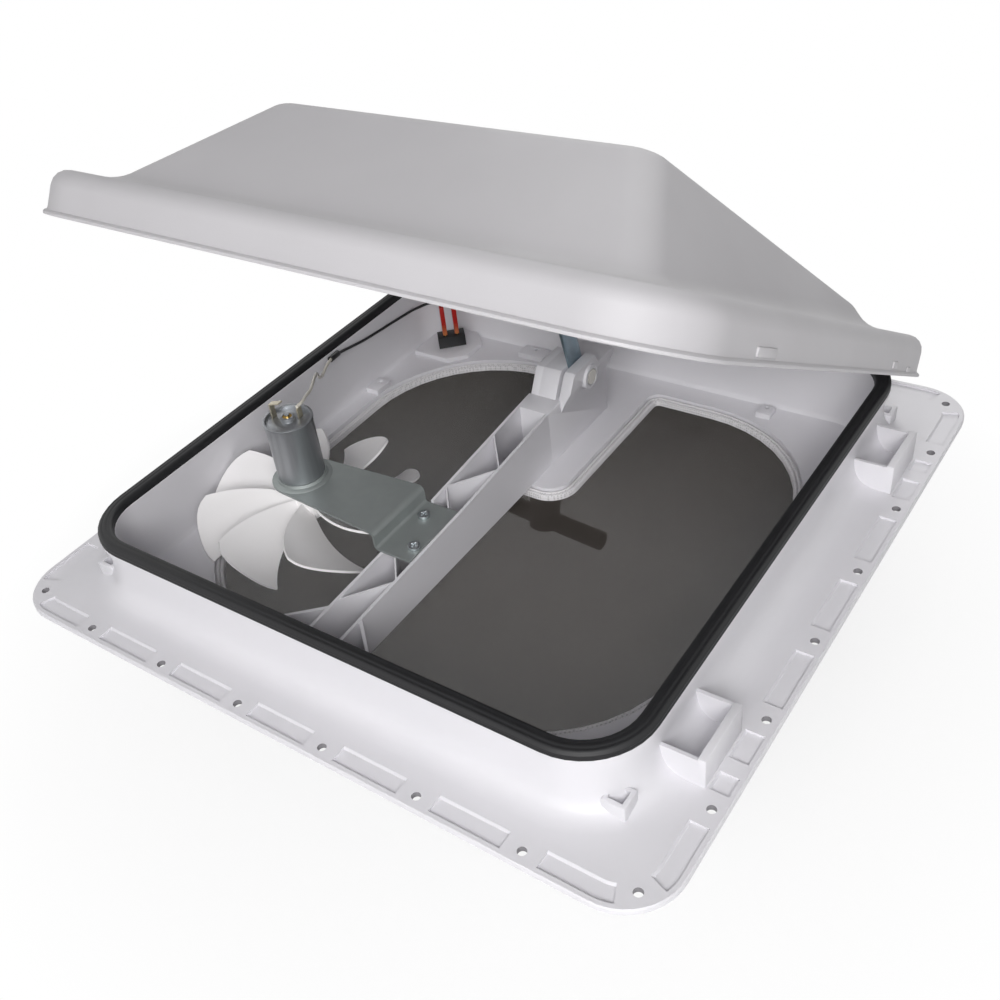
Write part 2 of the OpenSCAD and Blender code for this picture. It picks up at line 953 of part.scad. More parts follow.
module motor_shaft() color(steel) {
    at_motor()
        translate([0, 0, fan_low + 1])
            cylinder(h = can_top + 2.5 - fan_low - 1, r = shaft_motor_r);
}

module motor_rotor() color(steel) {
    at_motor()
        slab(can_z + 8, can_z + 29)
            difference() {
                circle(can_r - can_wall - 3.6);
                circle(shaft_motor_r + slip);
                for (a = [0, 120, 240])
                    rotate(a)
                        translate([can_r - can_wall - 6, 0])
                            square([6, 1.6], center = true);
            }
}

module commutator() color(copper) {
    at_motor()
        slab(can_z + 30, can_top - 3.8)
            difference() {
                circle(4);
                circle(shaft_motor_r + slip);
            }
}

module blade_sector() {
    intersection() {
        difference() {
            circle(fan_r);
            circle(fan_hub_r - 1);
        }
        polygon([[0, 0], [2 * fan_r, 0], 2 * fan_r * [cos(blade_span / 2), sin(blade_span / 2)],
            2 * fan_r * [cos(blade_span), sin(blade_span)]]);
    }
}

module fan_blades() color(white) {
    at_motor()
        difference() {
            union() {
                slab(fan_low, fan_hub_top)
                    circle(fan_hub_r);
                for (k = [0:blades - 1])
                    rotate(blade_start + 360 / blades * k)
                        intersection() {
                            slab(fan_low, fan_low + blade_h)
                                blade_sector();
                            rotate(blade_span / 2)
                                translate([0, 0, blade_z])
                                    rotate([-blade_tilt, 0, 0])
                                        cube([4 * fan_r, 4 * fan_r, blade_t], center = true);
                        }
            }
            translate([0, 0, fan_low + 1])
                cylinder(h = fan_hub_top, r = shaft_motor_r + slip);
        }
}

// Points between the route's points on a smooth curve through them
function smooth(p, n) = [
    for (i = [0:len(p) - 2])
        for (k = [0:n - 1])
            let (a = p[max(i - 1, 0)], b = p[i], c = p[i + 1], d = p[min(i + 2, len(p) - 1)], t = k / n)
            0.5 * (2 * b + (c - a) * t + (2 * a - 5 * b + 4 * c - d) * t * t
                + (3 * b - a - 3 * c + d) * t * t * t),
    p[len(p) - 1]];

function unit(v) = v / norm(v);

// Round wire along a route
module wire(route, r) {
    pts = smooth(route, 4);
    last = len(pts) - 1;
    ring = [for (i = [0:last])
        let (ahead = unit(pts[min(i + 1, last)] - pts[max(i - 1, 0)]))
        let (side = unit(cross(ahead, [0, 0, 1])))
        let (up = cross(side, ahead))
        [for (k = [0:wire_sides - 1])
            let (a = 360 * k / wire_sides)
            pts[i] + r * (cos(a) * side + sin(a) * up)]];
    polyhedron(
        points = [for (loop = ring) for (p = loop) p],
        faces = concat(
            [[for (k = [0:wire_sides - 1]) k]],
            [for (i = [0:last - 1]) for (k = [0:wire_sides - 1])
                let (n = (k + 1) % wire_sides, a = i * wire_sides, b = (i + 1) * wire_sides)
                [a + k, b + k, b + n, a + n]],
            [[for (k = [wire_sides - 1:-1:0]) last * wire_sides + k]]));
}

module white_wire() color(cream) {
    wire(white_route, wire_r);
}

module black_wire() color(black) {
    wire(black_route, wire_r);
}

// Crimped joint between the two wires
module wire_splice() color(black) {
    a = white_route[len(white_route) - 1];
    b = black_route[0];
    along = unit(b - a);
    translate(a - 3 * along)
        rotate([0, acos(along[2]), atan2(along[1], along[0])])
            difference() {
                cylinder(h = norm(b - a) + 6, r = 2.2);
                translate([0, 0, -1])
                    cylinder(h = norm(b - a) + 8, r = 1.4);
            }
}

// Lid outline with larger corners at the front
module lid_2d(half) {
    front_r = lid_front_r - (lid_half - half);
    back_r = max(lid_back_r - (lid_half - half), 3);
    translate([-half, -half + front_r])
        square([2 * half, 2 * half - front_r - back_r]);
    translate([-half + front_r, -half])
        square([2 * (half - front_r), half]);
    translate([-half + back_r, 0])
        square([2 * (half - back_r), half]);
    for (s = [-1, 1]) {
        translate([s * (half - front_r), -half + front_r])
            circle(front_r);
        translate([s * (half - back_r), half - back_r])
            circle(back_r);
    }
}

// Point of the lid from across, distance from the back edge and height over the lip
function lid_point(u, v, w) = [u, lid_half - v, lip_z + w];

// Dome as a block with sloping sides, drawn inside its outer faces by a wall
module dome(wall, low) {
    half = dome_half - wall * 1.3;
    back = dome_back + wall * 1.3;
    front = dome_front - wall * 1.3;
    top = ridge_h - wall;
    step = lid_skirt + step_h - wall;
    low_half = half + side_run * (lid_skirt - low);
    base = lid_skirt;
    step_half = half - side_run * (step - base);
    top_half = half - side_run * (top - base);
    low_half_in = low < base ? half : low_half;
    polyhedron(
        points = [
            lid_point(-low_half_in, back, low), lid_point(low_half_in, back, low),
            lid_point(low_half_in, front, low), lid_point(-low_half_in, front, low),
            lid_point(-half, back, base), lid_point(half, back, base),
            lid_point(half, front, base), lid_point(-half, front, base),
            lid_point(-step_half, step_v, step), lid_point(step_half, step_v, step),
            lid_point(top_half, ridge_v, top), lid_point(-top_half, ridge_v, top)],
        faces = [[3, 2, 1, 0], [1, 5, 4, 0], [2, 6, 5, 1], [3, 7, 6, 2], [0, 4, 7, 3],
            [5, 9, 8, 4], [9, 10, 11, 8], [7, 11, 10, 6], [6, 10, 9, 5], [4, 8, 11, 7]]);
}

module lid_knuckles() {
    for (x = [-hinge_x, hinge_x])
        in_yz(x - knuckle_l / 2, knuckle_l) {
            translate([hinge_y, hinge_z])
                circle(knuckle_r);
            translate([lid_half - lip_flare - 1, hinge_z - knuckle_r])
                square([hinge_y - lid_half + lip_flare + 1, 2 * knuckle_r]);
        }
}

module lid_dome() color(white) {
    opened()
        difference() {
            union() {
                slab(lip_z, lip_z + lip_h)
                    lid_2d(lid_half);
                slab(lip_z, lip_z + lid_skirt)
                    lid_2d(lid_half - lip_flare);
                dome(0, lid_skirt - 1);
                lid_knuckles();
            }
            slab(lip_z - eps, lip_z + lid_skirt - lid_t)
                lid_2d(lid_half - lip_flare - lid_t);
            dome(lid_t, lid_skirt - lid_t - eps);
            for (x = [-hinge_x, hinge_x])
                bar_x(x - knuckle_l, 2 * knuckle_l, hinge_pin_r + run, hinge_y, hinge_z);
        }
}

// Roller centre at a lid angle, as seen on the closed lid
function roller_at(angle) =
    let (a = arm_rest + arm_ratio * (angle - rest_angle))
    let (y = pivot_y - arm_l * cos(a) - hinge_y, z = pivot_z + arm_l * sin(a) - hinge_z)
    [hinge_y + y * cos(angle) - z * sin(angle), hinge_z + y * sin(angle) + z * cos(angle)];

roller_path = [for (i = [0:rail_steps]) roller_at(lid_travel * i / rail_steps)];

// Height of the dome's inner face over a place along the closed lid
function dome_under(y) =
    let (v = lid_half - y, w0 = lid_skirt + step_h - lid_t, w1 = ridge_h - lid_t)
    lip_z + w0 + (w1 - w0) * (v - step_v) / (ridge_v - step_v);

module rail_slot() {
    first = roller_path[0];
    last = roller_path[rail_steps];
    polygon(concat([for (p = roller_path) p + [0, slot_r]],
        [for (i = [rail_steps:-1:0]) roller_path[i] - [0, slot_r]]));
    translate(first)
        circle(slot_r);
    translate(last)
        circle(slot_r);
}

module rail_plate() {
    y0 = roller_path[0][0] - 9;
    y1 = roller_path[rail_steps][0] + 9;
    under = slot_r + rail_under;
    polygon(concat(
        [[y0, roller_path[0][1] - under]],
        [for (p = roller_path) p - [0, under]],
        [[y1, roller_path[rail_steps][1] - under], [y1, dome_under(y1)], [y0, dome_under(y0)]]));
}

module rail_flange() {
    y0 = roller_path[0][0] - 9;
    y1 = roller_path[rail_steps][0] + 9;
    polygon([[y0, dome_under(y0) - 2.5], [y1, dome_under(y1) - 2.5], [y1, dome_under(y1)],
        [y0, dome_under(y0)]]);
}

module lift_rail() color(white) {
    opened()
        difference() {
            union() {
                in_yz(rail_x, rail_t)
                    rail_plate();
                in_yz(rail_x, rail_t + 14)
                    rail_flange();
            }
            in_yz(rail_x - eps, rail_t + 2 * eps)
                rail_slot();
            rail_screw_spots()
                translate([0, 0, -10])
                    cylinder(h = 12, r = screw_r + 0.1);
        }
}

// Screws through the rail's flange, square to the dome's inner face
module rail_screw_spots() {
    slope = atan2(dome_under(0) - dome_under(50), 50);
    for (y = [roller_path[0][0] + 8, roller_path[rail_steps][0] - 8])
        translate([rail_x + rail_t + 7, y, dome_under(y)])
            rotate([-slope, 0, 0])
                children();
}

module rail_screws() color(steel) {
    opened()
        rail_screw_spots()
            translate([0, 0, -2.5])
                mirror([0, 0, 1])
                    pan_screw(2.3, 3.4, 2);
}

module hinge_pins() color(steel) {
    for (x = [-hinge_x, hinge_x])
        bar_x(x - knuckle_l / 2 - gap - ear_t - 1, knuckle_l + 2 * (gap + ear_t + 1), hinge_pin_r,
            hinge_y, hinge_z);
}

module lift_arm() color(zinc) {
    along_arm(arm_x, arm_t)
        difference() {
            union() {
                circle(arm_eye_r);
                polygon([[0, -7.5], [arm_l - 20, -7], [arm_l, -arm_tip_r], [arm_l, arm_tip_r],
                    [arm_l - 20, 7], [0, 7.5]]);
                translate([arm_l, 0])
                    circle(arm_tip_r);
            }
            circle(pin_r + slip);
            translate([arm_l, 0])
                circle(roller_pin_r + slip);
        }
}

// Outline of a toothed wheel
module gear_2d() {
    step = 360 / gear_teeth;
    polygon([for (k = [0:gear_teeth - 1])
        for (c = [[gear_root, -0.32], [gear_r, -0.14], [gear_r, 0.14], [gear_root, 0.32]])
            c[0] * [cos((k + c[1]) * step), sin((k + c[1]) * step)]]);
}

module worm_wheel() color(white) {
    difference() {
        union() {
            along_arm(gear_x, gear_w)
                gear_2d();
            bar_x(gear_x + 1, arm_x - gear_x - 1, hub_r, pivot_y, pivot_z);
        }
        bar_x(gear_x - eps, arm_x - gear_x + 2 * eps, pin_r + slip, pivot_y, pivot_z);
    }
}

module pivot_pin() color(steel) {
    bar_x(tower_x + 2, tower_w - 2 + gap, pin_r, pivot_y, pivot_z);
    bar_x(tower_x + tower_w + gap, boss_t - gap, pin_r + 2, pivot_y, pivot_z);
}

module arm_roller() color(cream) {
    along_arm(rail_x - 0.4, roller_w)
        translate([arm_l, 0])
            difference() {
                circle(roller_r);
                circle(roller_pin_r + run);
            }
}

module roller_pin() color(steel) {
    along_arm(arm_x, rail_x + rail_t + gap + 0.5 - arm_x)
        translate([arm_l, 0])
            circle(roller_pin_r);
    along_arm(rail_x + rail_t + gap + 0.5, 1.6)
        translate([arm_l, 0])
            circle(slot_r + 1.4);
}

module worm() color(steel) {
    along_crank()
        translate([0, 0, -7])
            linear_extrude(worm_l, twist = -360 * worm_l / worm_lead, slices = 33)
                difference() {
                    translate([worm_throw, 0])
                        circle(worm_r - worm_throw, $fn = 14);
                    circle(shaft_thin_r + gap, $fn = 14);
                }
}

module crank_shaft() color(steel) {
    along_crank()
        difference() {
            union() {
                translate([0, 0, stem_top - 40])
                    cylinder(h = -7.5 - stem_top + 40, r = shaft_r);
                translate([0, 0, -7.5])
                    cylinder(h = 13, r = shaft_thin_r);
            }
            translate([0, 0, stem_top - 41])
                cylinder(h = 14, r = screw_r + slip);
        }
}

module crank_handle() color(navy) {
    along_crank()
        difference() {
            union() {
                translate([0, 0, stem_top - stem_l])
                    cylinder(h = stem_l, r1 = stem_low_r, r2 = stem_r);
                translate([0, 0, stem_top - stem_l + bar_r])
                    rotate(bar_turn)
                        rotate([0, 90, 0])
                            cylinder(h = crank_bar_l, r = bar_r, center = true);
            }
            translate([0, 0, stem_top - 40])
                cylinder(h = 41, r = shaft_r + slip);
            translate([0, 0, stem_top - stem_l - 1])
                cylinder(h = 12, r = screw_r + slip);
            translate([0, 0, stem_top - stem_l + bar_r])
                rotate(bar_turn)
                    for (s = [0, 180])
                        rotate(s)
                            translate([crank_bar_l / 2 - 32, 0, 0])
                                rotate([0, 90, 0])
                                    cylinder(h = 33, r = bar_r - 1.8);
        }
}

module crank_screw() color(steel) {
    along_crank()
        translate([0, 0, stem_top - stem_l])
            mirror([0, 0, 1])
                pan_screw(20, 4, 2.4);
}

base_frame();
rim_gasket();
cross_beam();
operator_housing();
operator_cover();
crank_bushing();
screen_frame();
insect_screen();
screen_clips();
switch_plate();
switch_body();
switch_rocker();
switch_blades();
spade_sleeves();
motor_bracket();
bracket_screws();
motor_can();
motor_end_cap();
motor_magnets();
motor_bushes();
motor_brushes();
motor_terminals();
motor_screws();
motor_shaft();
motor_rotor();
commutator();
fan_blades();
white_wire();
black_wire();
wire_splice();
lid_dome();
lift_rail();
rail_screws();
hinge_pins();
lift_arm();
worm_wheel();
pivot_pin();
arm_roller();
roller_pin();
worm();
crank_shaft();
crank_handle();
crank_screw();
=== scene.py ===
import math

import bmesh
import bpy
from mathutils import Matrix, Vector


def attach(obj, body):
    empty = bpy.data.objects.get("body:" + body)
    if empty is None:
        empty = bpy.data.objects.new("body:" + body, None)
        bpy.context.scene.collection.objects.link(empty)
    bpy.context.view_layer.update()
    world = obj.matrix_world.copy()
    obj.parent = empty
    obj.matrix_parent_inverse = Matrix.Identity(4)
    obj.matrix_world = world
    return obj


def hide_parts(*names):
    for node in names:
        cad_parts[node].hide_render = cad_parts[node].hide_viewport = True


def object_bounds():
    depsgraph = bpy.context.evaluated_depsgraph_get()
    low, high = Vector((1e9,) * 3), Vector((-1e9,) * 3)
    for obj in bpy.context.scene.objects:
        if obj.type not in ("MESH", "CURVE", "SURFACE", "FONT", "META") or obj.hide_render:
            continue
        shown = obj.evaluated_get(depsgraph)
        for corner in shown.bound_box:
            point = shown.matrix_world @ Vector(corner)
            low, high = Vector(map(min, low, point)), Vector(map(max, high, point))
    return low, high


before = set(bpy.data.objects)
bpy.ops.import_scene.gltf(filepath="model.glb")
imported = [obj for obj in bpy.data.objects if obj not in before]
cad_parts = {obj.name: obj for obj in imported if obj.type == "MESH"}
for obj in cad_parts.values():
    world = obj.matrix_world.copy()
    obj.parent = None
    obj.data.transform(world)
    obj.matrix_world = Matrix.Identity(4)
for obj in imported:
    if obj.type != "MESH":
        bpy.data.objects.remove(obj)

cad_low, cad_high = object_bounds()
scene = bpy.context.scene
scene.view_settings.view_transform = "Standard"

# Camera: looks down over the front right corner of the vent, tilted a little about its own axis.
# The angles, lens and shift were solved from the vent's straight edges.
camera_data = bpy.data.cameras.new("camera")
camera_data.sensor_width = 36
camera_data.lens = 40.42
camera_data.shift_x = 0.0562
camera_data.shift_y = 0.0372
camera = bpy.data.objects.new("camera", camera_data)
camera_place = (0.3454, -0.4452, 0.4419)
camera_turn = math.radians(42.04)
camera_pitch = math.radians(90 - 39.53)
camera_roll = math.radians(-9.88)
camera.matrix_world = (
    Matrix.Translation(camera_place)
    @ Matrix.Rotation(camera_turn, 4, "Z")
    @ Matrix.Rotation(camera_pitch, 4, "X")
    @ Matrix.Rotation(camera_roll, 4, "Z")
)
scene.collection.objects.link(camera)
scene.camera = camera


# Studio: a white paper floor under the lowest point, a pale surround and five soft lamps.
# The key lamp stands beside the camera, one in front lights the inside of the well,
# and one behind keeps the back of the lid from going dark.
def linear(colour):
    """Linear colour with alpha from an sRGB hex string."""
    parts = [int(colour[i:i + 2], 16) / 255 for i in (1, 3, 5)]
    return [p / 12.92 if p <= 0.04045 else ((p + 0.055) / 1.055) ** 2.4 for p in parts] + [1.0]


def add_node(tree, kind, inputs=None, **settings):
    """A shader node with its settings, and its sockets set to values or linked to other sockets."""
    node = tree.nodes.new(kind)
    for name, value in settings.items():
        setattr(node, name, value)
    for socket, value in (inputs or {}).items():
        if isinstance(value, bpy.types.NodeSocket):
            tree.links.new(value, node.inputs[socket])
        else:
            node.inputs[socket].default_value = value
    return node


def new_material(name):
    """An empty material and its node tree."""
    material = bpy.data.materials.new(name)
    material.use_nodes = True
    material.node_tree.nodes.clear()
    return material, material.node_tree


floor_half = 4.0
floor_drop = 0.0005
floor_mesh = bmesh.new()
bmesh.ops.create_grid(floor_mesh, x_segments=1, y_segments=1, size=floor_half)
bmesh.ops.translate(floor_mesh, verts=floor_mesh.verts, vec=(0, 0, cad_low[2] - floor_drop))
floor_data = bpy.data.meshes.new("paper_floor")
floor_mesh.to_mesh(floor_data)
floor_mesh.free()
paper_floor = bpy.data.objects.new("paper_floor", floor_data)
scene.collection.objects.link(paper_floor)

# White paper: matt, and plain white to the eye away from the vent, where no shadow falls.
shadow_near, shadow_far = 0.22, 0.38
paper, tree = new_material("white_paper")
light_path = add_node(tree, "ShaderNodeLightPath")
place = add_node(tree, "ShaderNodeTexCoord")
distance = add_node(tree, "ShaderNodeVectorMath", {0: place.outputs["Object"]}, operation="LENGTH")
away = add_node(tree, "ShaderNodeMapRange",
                {"Value": distance.outputs["Value"], "From Min": shadow_near, "From Max": shadow_far,
                 "To Min": 0.75, "To Max": 1.0})
seen = add_node(tree, "ShaderNodeMath",
                {0: light_path.outputs["Is Camera Ray"], 1: light_path.outputs["Is Glossy Ray"]},
                operation="MAXIMUM")
whiten = add_node(tree, "ShaderNodeMath", {0: seen.outputs[0], 1: away.outputs["Result"]},
                  operation="MULTIPLY")
matt = add_node(tree, "ShaderNodeBsdfDiffuse", {"Color": linear("#f7f7f7")})
plain_white = add_node(tree, "ShaderNodeEmission", {"Color": (1, 1, 1, 1), "Strength": 1.0})
mixed = add_node(tree, "ShaderNodeMixShader",
                 {0: whiten.outputs[0], 1: matt.outputs[0], 2: plain_white.outputs[0]})
add_node(tree, "ShaderNodeOutputMaterial", {"Surface": mixed.outputs[0]})
floor_data.materials.append(paper)

world = bpy.data.worlds.new("pale_surround")
scene.world = world
world.use_nodes = True
tree = world.node_tree
tree.nodes.clear()
light_path = add_node(tree, "ShaderNodeLightPath")
looked_at = add_node(tree, "ShaderNodeMath",
                     {0: light_path.outputs["Is Camera Ray"], 1: light_path.outputs["Is Transmission Ray"]},
                     operation="MAXIMUM")
seen = add_node(tree, "ShaderNodeMath", {0: looked_at.outputs[0], 1: light_path.outputs["Is Glossy Ray"]},
                operation="MAXIMUM")
fill = add_node(tree, "ShaderNodeBackground", {"Color": (1, 1, 1, 1), "Strength": 0.09})
backdrop = add_node(tree, "ShaderNodeBackground", {"Color": (1, 1, 1, 1), "Strength": 1.0})
mixed = add_node(tree, "ShaderNodeMixShader",
                 {0: seen.outputs[0], 1: fill.outputs[0], 2: backdrop.outputs[0]})
add_node(tree, "ShaderNodeOutputWorld", {"Surface": mixed.outputs[0]})

aim = Vector((0, 0, 0.06))
for name, place, side, watts in (
    ("key_lamp", (0.75, -0.975, 0.81), 0.7, 15.2),
    ("front_lamp", (0.20, -1.80, 0.90), 0.8, 9.3),
    ("left_lamp", (-1.10, -0.60, 0.90), 0.9, 1.2),
    ("top_lamp", (0.10, 0.30, 1.80), 1.4, 2.0),
    ("back_lamp", (-0.45, 1.70, 1.00), 1.2, 11.0),
):
    lamp = bpy.data.lights.new(name, "AREA")
    lamp.size = side
    lamp.energy = watts
    lamp_object = bpy.data.objects.new(name, lamp)
    lamp_object.location = place
    lamp_object.rotation_euler = (aim - Vector(place)).to_track_quat("-Z", "Y").to_euler()
    scene.collection.objects.link(lamp_object)

# Base frame: one white ABS moulding with a roof flange, a collar round the well and a floor.
# It is screwed to the roof through the flange, and the hinge ears and side boxes are part of it.
MM = 0.001
corner_steps = 10
flange_half = 222
flange_t = 3.5
well_half = 176.5
collar_half = 183.5
floor_top = -9
floor_low = -12
rim_top = 39.5
screw_line = 215
screw_pitch = 60.8
hinge_y = 203.4
hinge_z = 32.5
hinge_x = 120
opening_x, opening_y, opening_r = 163, 160, 94.5
tongue_left, tongue_right, tongue_tip = -25, 21.5, 31
tongue_root_r, tongue_tip_r = 9, 14


def round_off(bm, geom, offset, steps, affect="EDGES", clamp=False):
    """Rounds edges, or the corners of an outline, with an even arc."""
    bmesh.ops.bevel(bm, geom=geom, offset=offset, offset_type="OFFSET", affect=affect, segments=steps,
                    profile=0.5, clamp_overlap=clamp, material=-1)


def corner_ring(bm, half, corner, z):
    """Edges of a square outline with round corners, given by its half side and corner radius."""
    before = set(bm.faces)
    level = Matrix.Translation((0, 0, z))
    made = bmesh.ops.create_grid(bm, x_segments=1, y_segments=1, size=half, matrix=level)
    round_off(bm, made["verts"], corner, corner_steps, "VERTICES")
    return open_face(bm, before)


def open_face(bm, before):
    """Takes away the one face made since then and gives its edges."""
    face = next(f for f in bm.faces if f not in before)
    edges = list(face.edges)
    bmesh.ops.delete(bm, geom=[face], context="FACES_ONLY")
    return edges


def join_rings(bm, rings):
    """Walls from each ring to the next."""
    for first, second in zip(rings, rings[1:]):
        bmesh.ops.bridge_loops(bm, edges=first + second)


def opening_ring(bm, inset, z):
    """Edges of the screen opening: round corners, and a tongue that comes in from the back."""
    half_x, half_y = opening_x - inset, opening_y - inset
    left, right, tip = tongue_left - inset, tongue_right + inset, tongue_tip - inset
    points = [(-half_x, -half_y), (half_x, -half_y), (half_x, half_y), (right, half_y), (right, tip),
              (left, tip), (left, half_y), (-half_x, half_y)]
    outer_r, root_r, tip_r = opening_r - inset, max(tongue_root_r - inset, 1), tongue_tip_r + inset
    radii = [outer_r] * 3 + [root_r, tip_r, tip_r, root_r, outer_r]
    before = set(bm.faces)
    verts = [bm.verts.new((x, y, z)) for x, y in points]
    bm.faces.new(verts)
    for vert, radius in zip(verts, radii):
        round_off(bm, [vert], radius, corner_steps, "VERTICES")
    return open_face(bm, before)


def add_box(bm, low, high, round_by=0.0):
    """A box between two corners, with its edges rounded."""
    size = [h - l for l, h in zip(low, high)]
    middle = [(l + h) / 2 for l, h in zip(low, high)]
    matrix = Matrix.Translation(middle) @ Matrix.Diagonal((*size, 1))
    verts = bmesh.ops.create_cube(bm, size=1, matrix=matrix)["verts"]
    if round_by:
        round_off(bm, list({e for v in verts for e in v.link_edges}), round_by, 2)
    return verts


def add_drum(bm, low, high, radius, steps=32):
    """A cylinder between two points, or a bar with few sides."""
    axis = Vector(high) - Vector(low)
    middle = Matrix.Translation((Vector(low) + Vector(high)) / 2)
    matrix = middle @ axis.to_track_quat("Z", "Y").to_matrix().to_4x4()
    return bmesh.ops.create_cone(bm, cap_ends=True, segments=steps, radius1=radius, radius2=radius,
                                 depth=axis.length, matrix=matrix)["verts"]


def to_object(name, bm):
    """An object in metres from a mesh that was built in millimetres."""
    bmesh.ops.scale(bm, vec=(MM, MM, MM), verts=bm.verts)
    data = bpy.data.meshes.new(name)
    bm.to_mesh(data)
    bm.free()
    made = bpy.data.objects.new(name, data)
    scene.collection.objects.link(made)
    return made


def finished_mesh(made):
    """The mesh of an object with its modifiers, or its curve, worked out."""
    bpy.context.view_layer.update()
    return bpy.data.meshes.new_from_object(made.evaluated_get(bpy.context.evaluated_depsgraph_get()))


def combine(piece, other, operation):
    """Joins another solid to a piece or cuts it out, and takes the other one away."""
    step = piece.modifiers.new(operation.lower(), "BOOLEAN")
    step.operation = operation
    step.solver = "EXACT"
    step.object = other
    step.use_self = True
    changed = finished_mesh(piece)
    piece.modifiers.clear()
    piece.data = changed
    bpy.data.objects.remove(other)


def smooth_shade(piece, angle=32):
    """Smooth shading between faces that meet at less than an angle."""
    bm = bmesh.new()
    bm.from_mesh(piece.data)
    for face in bm.faces:
        face.smooth = True
    for edge in bm.edges:
        edge.smooth = edge.calc_face_angle(math.pi) < math.radians(angle)
    bm.to_mesh(piece.data)
    bm.free()


def dress(piece, material, body, node):
    """Gives a piece its finish and the body it moves with, and hides the CAD node that it stands for."""
    piece.data.materials.clear()
    piece.data.materials.append(material)
    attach(piece, body)
    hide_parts(node)


shell = bmesh.new()
outer_rings = [corner_ring(shell, half, corner, z) for half, corner, z in (
    (180, 33.5, floor_low), (180, 33.5, 0), (flange_half, 32, 0), (flange_half, 32, 2.7),
    (221.3, 31.3, flange_t), (200, 53.5, 3.6), (195, 48.5, 4.25), (191, 44.5, 5.8),
    (188.3, 41.8, 8.2), (186.3, 39.8, 11.5), (185, 38.5, 15.5), (184.1, 37.6, 21),
    (183.6, 37.1, 28), (collar_half, 37, 35.5),
    (184.2, 37.7, 36), (186, 39.5, 36.6), (186, 39.5, 39.0), (185.6, 39.1, 39.4),
    (176.9, 30.4, rim_top), (well_half, 30, 39.1), (well_half, 30, -4.5), (176.1, 29.6, -6.8),
    (175, 28.5, -8.3), (173, 26.5, floor_top))]
join_rings(shell, outer_rings)
opening_top = opening_ring(shell, 0, floor_top)
opening_low = opening_ring(shell, 0, floor_low)
bmesh.ops.triangle_fill(shell, use_beauty=True, edges=outer_rings[-1] + opening_top)
bmesh.ops.triangle_fill(shell, use_beauty=True, edges=outer_rings[0] + opening_low)
join_rings(shell, [opening_top, opening_low])
bmesh.ops.remove_doubles(shell, verts=shell.verts, dist=0.001)
bmesh.ops.recalc_face_normals(shell, faces=shell.faces)
base_shell = to_object("base_shell", shell)

# Side boxes, corner boxes and hinge ears stand on the flange. The boxes are open on top.
extras = bmesh.new()
mouths = bmesh.new()
sunk_to = 1.2
mouth_in, mouth_out, mouth_top = 180, 203, 30
lug_y, lug_half, lug_wall = 123, 20, 2
lug_in, lug_out, lug_floor, lug_top = 181.5, 207.5, 5, 22.8
end_wall_drop = 1.2
lug_span = (lug_y - lug_half, lug_y + lug_half)
lug_mouth = (lug_y - lug_half + lug_wall, lug_y + lug_half - lug_wall)
lug_ends = (lug_y - lug_half - 1, lug_y + lug_half + 1)
corner_box_x, corner_box_y, corner_box_top = (172, 185), (165.5, 178.5), 13.5
corner_mouth_x, corner_mouth_y, corner_box_floor = (174.5, 182.5), (168, 176), 7.5
for sx in (-1, 1):
    for sy in (-1, 1):
        for bm, x_range, y_range, z_range, round_by in (
            (extras, (lug_in, lug_out), lug_span, (sunk_to, lug_top), 0.9),
            (mouths, (mouth_in, mouth_out), lug_mouth, (lug_floor, mouth_top), 0),
            (mouths, (mouth_in, mouth_out + 0.4), lug_ends, (lug_top - end_wall_drop, mouth_top), 0),
            (extras, corner_box_x, corner_box_y, (sunk_to, corner_box_top), 1.0),
            (mouths, corner_mouth_x, corner_mouth_y, (corner_box_floor, mouth_top), 0),
        ):
            xs = sorted(sx * v for v in x_range)
            ys = sorted(sy * v for v in y_range)
            add_box(bm, (xs[0], ys[0], z_range[0]), (xs[1], ys[1], z_range[1]), round_by)
ear_t, ear_at, ear_r = 4, 14.3, 6
for x in (-hinge_x, hinge_x):
    for side in (-1, 1):
        middle = x + side * ear_at
        near, far = middle - ear_t / 2, middle + ear_t / 2
        add_box(extras, (near, hinge_y - ear_r, sunk_to), (far, hinge_y + ear_r, hinge_z))
        add_drum(extras, (near, hinge_y, hinge_z), (far, hinge_y, hinge_z), ear_r)
stand_ups = to_object("stand_ups", extras)
combine(stand_ups, to_object("mouths", mouths), "DIFFERENCE")
combine(base_shell, stand_ups, "UNION")

# Cuts: screw holes, and a band of shallow pockets round the flange that stops at a land by each hole.
cuts = bmesh.new()
cut_past = 1
pocket_in, pocket_middle, pocket_out = 208, 213, 219
pocket_deep = 1.5
pocket_slope, pocket_draft = 1.6, 0.2
land_half = 10
corner_at = 206.8
hole_r, hole_steps = 2.5, 20
bend_at, bend_degrees = 190, 21
split_at, split_half = 125.4, 4.7
pin_bore_r, pin_bore_half = 2.52, 20


def add_pocket(bm, start, end):
    """A shallow recess on the +Y side whose wall towards the collar slopes."""
    verts = add_box(bm, (start, pocket_in, flange_t - pocket_deep), (end, pocket_out, flange_t + cut_past))
    for vert in verts:
        if vert.co.z < flange_t:
            vert.co.y += pocket_slope if vert.co.y < pocket_middle else -pocket_draft
    return verts


def turn_corner(bm, verts, side):
    """Carries a pocket's end round the flange's corner."""
    corner = Vector((side * bend_at, bend_at, 0))
    end = next(f for v in verts for f in v.link_faces if all(abs(w.co.x - corner.x) < 0.1 for w in f.verts))
    bmesh.ops.spin(bm, geom=[end], cent=corner, axis=(0, 0, 1), steps=5,
                   angle=-side * math.radians(bend_degrees))
    bmesh.ops.delete(bm, geom=[end], context="FACES_ONLY")


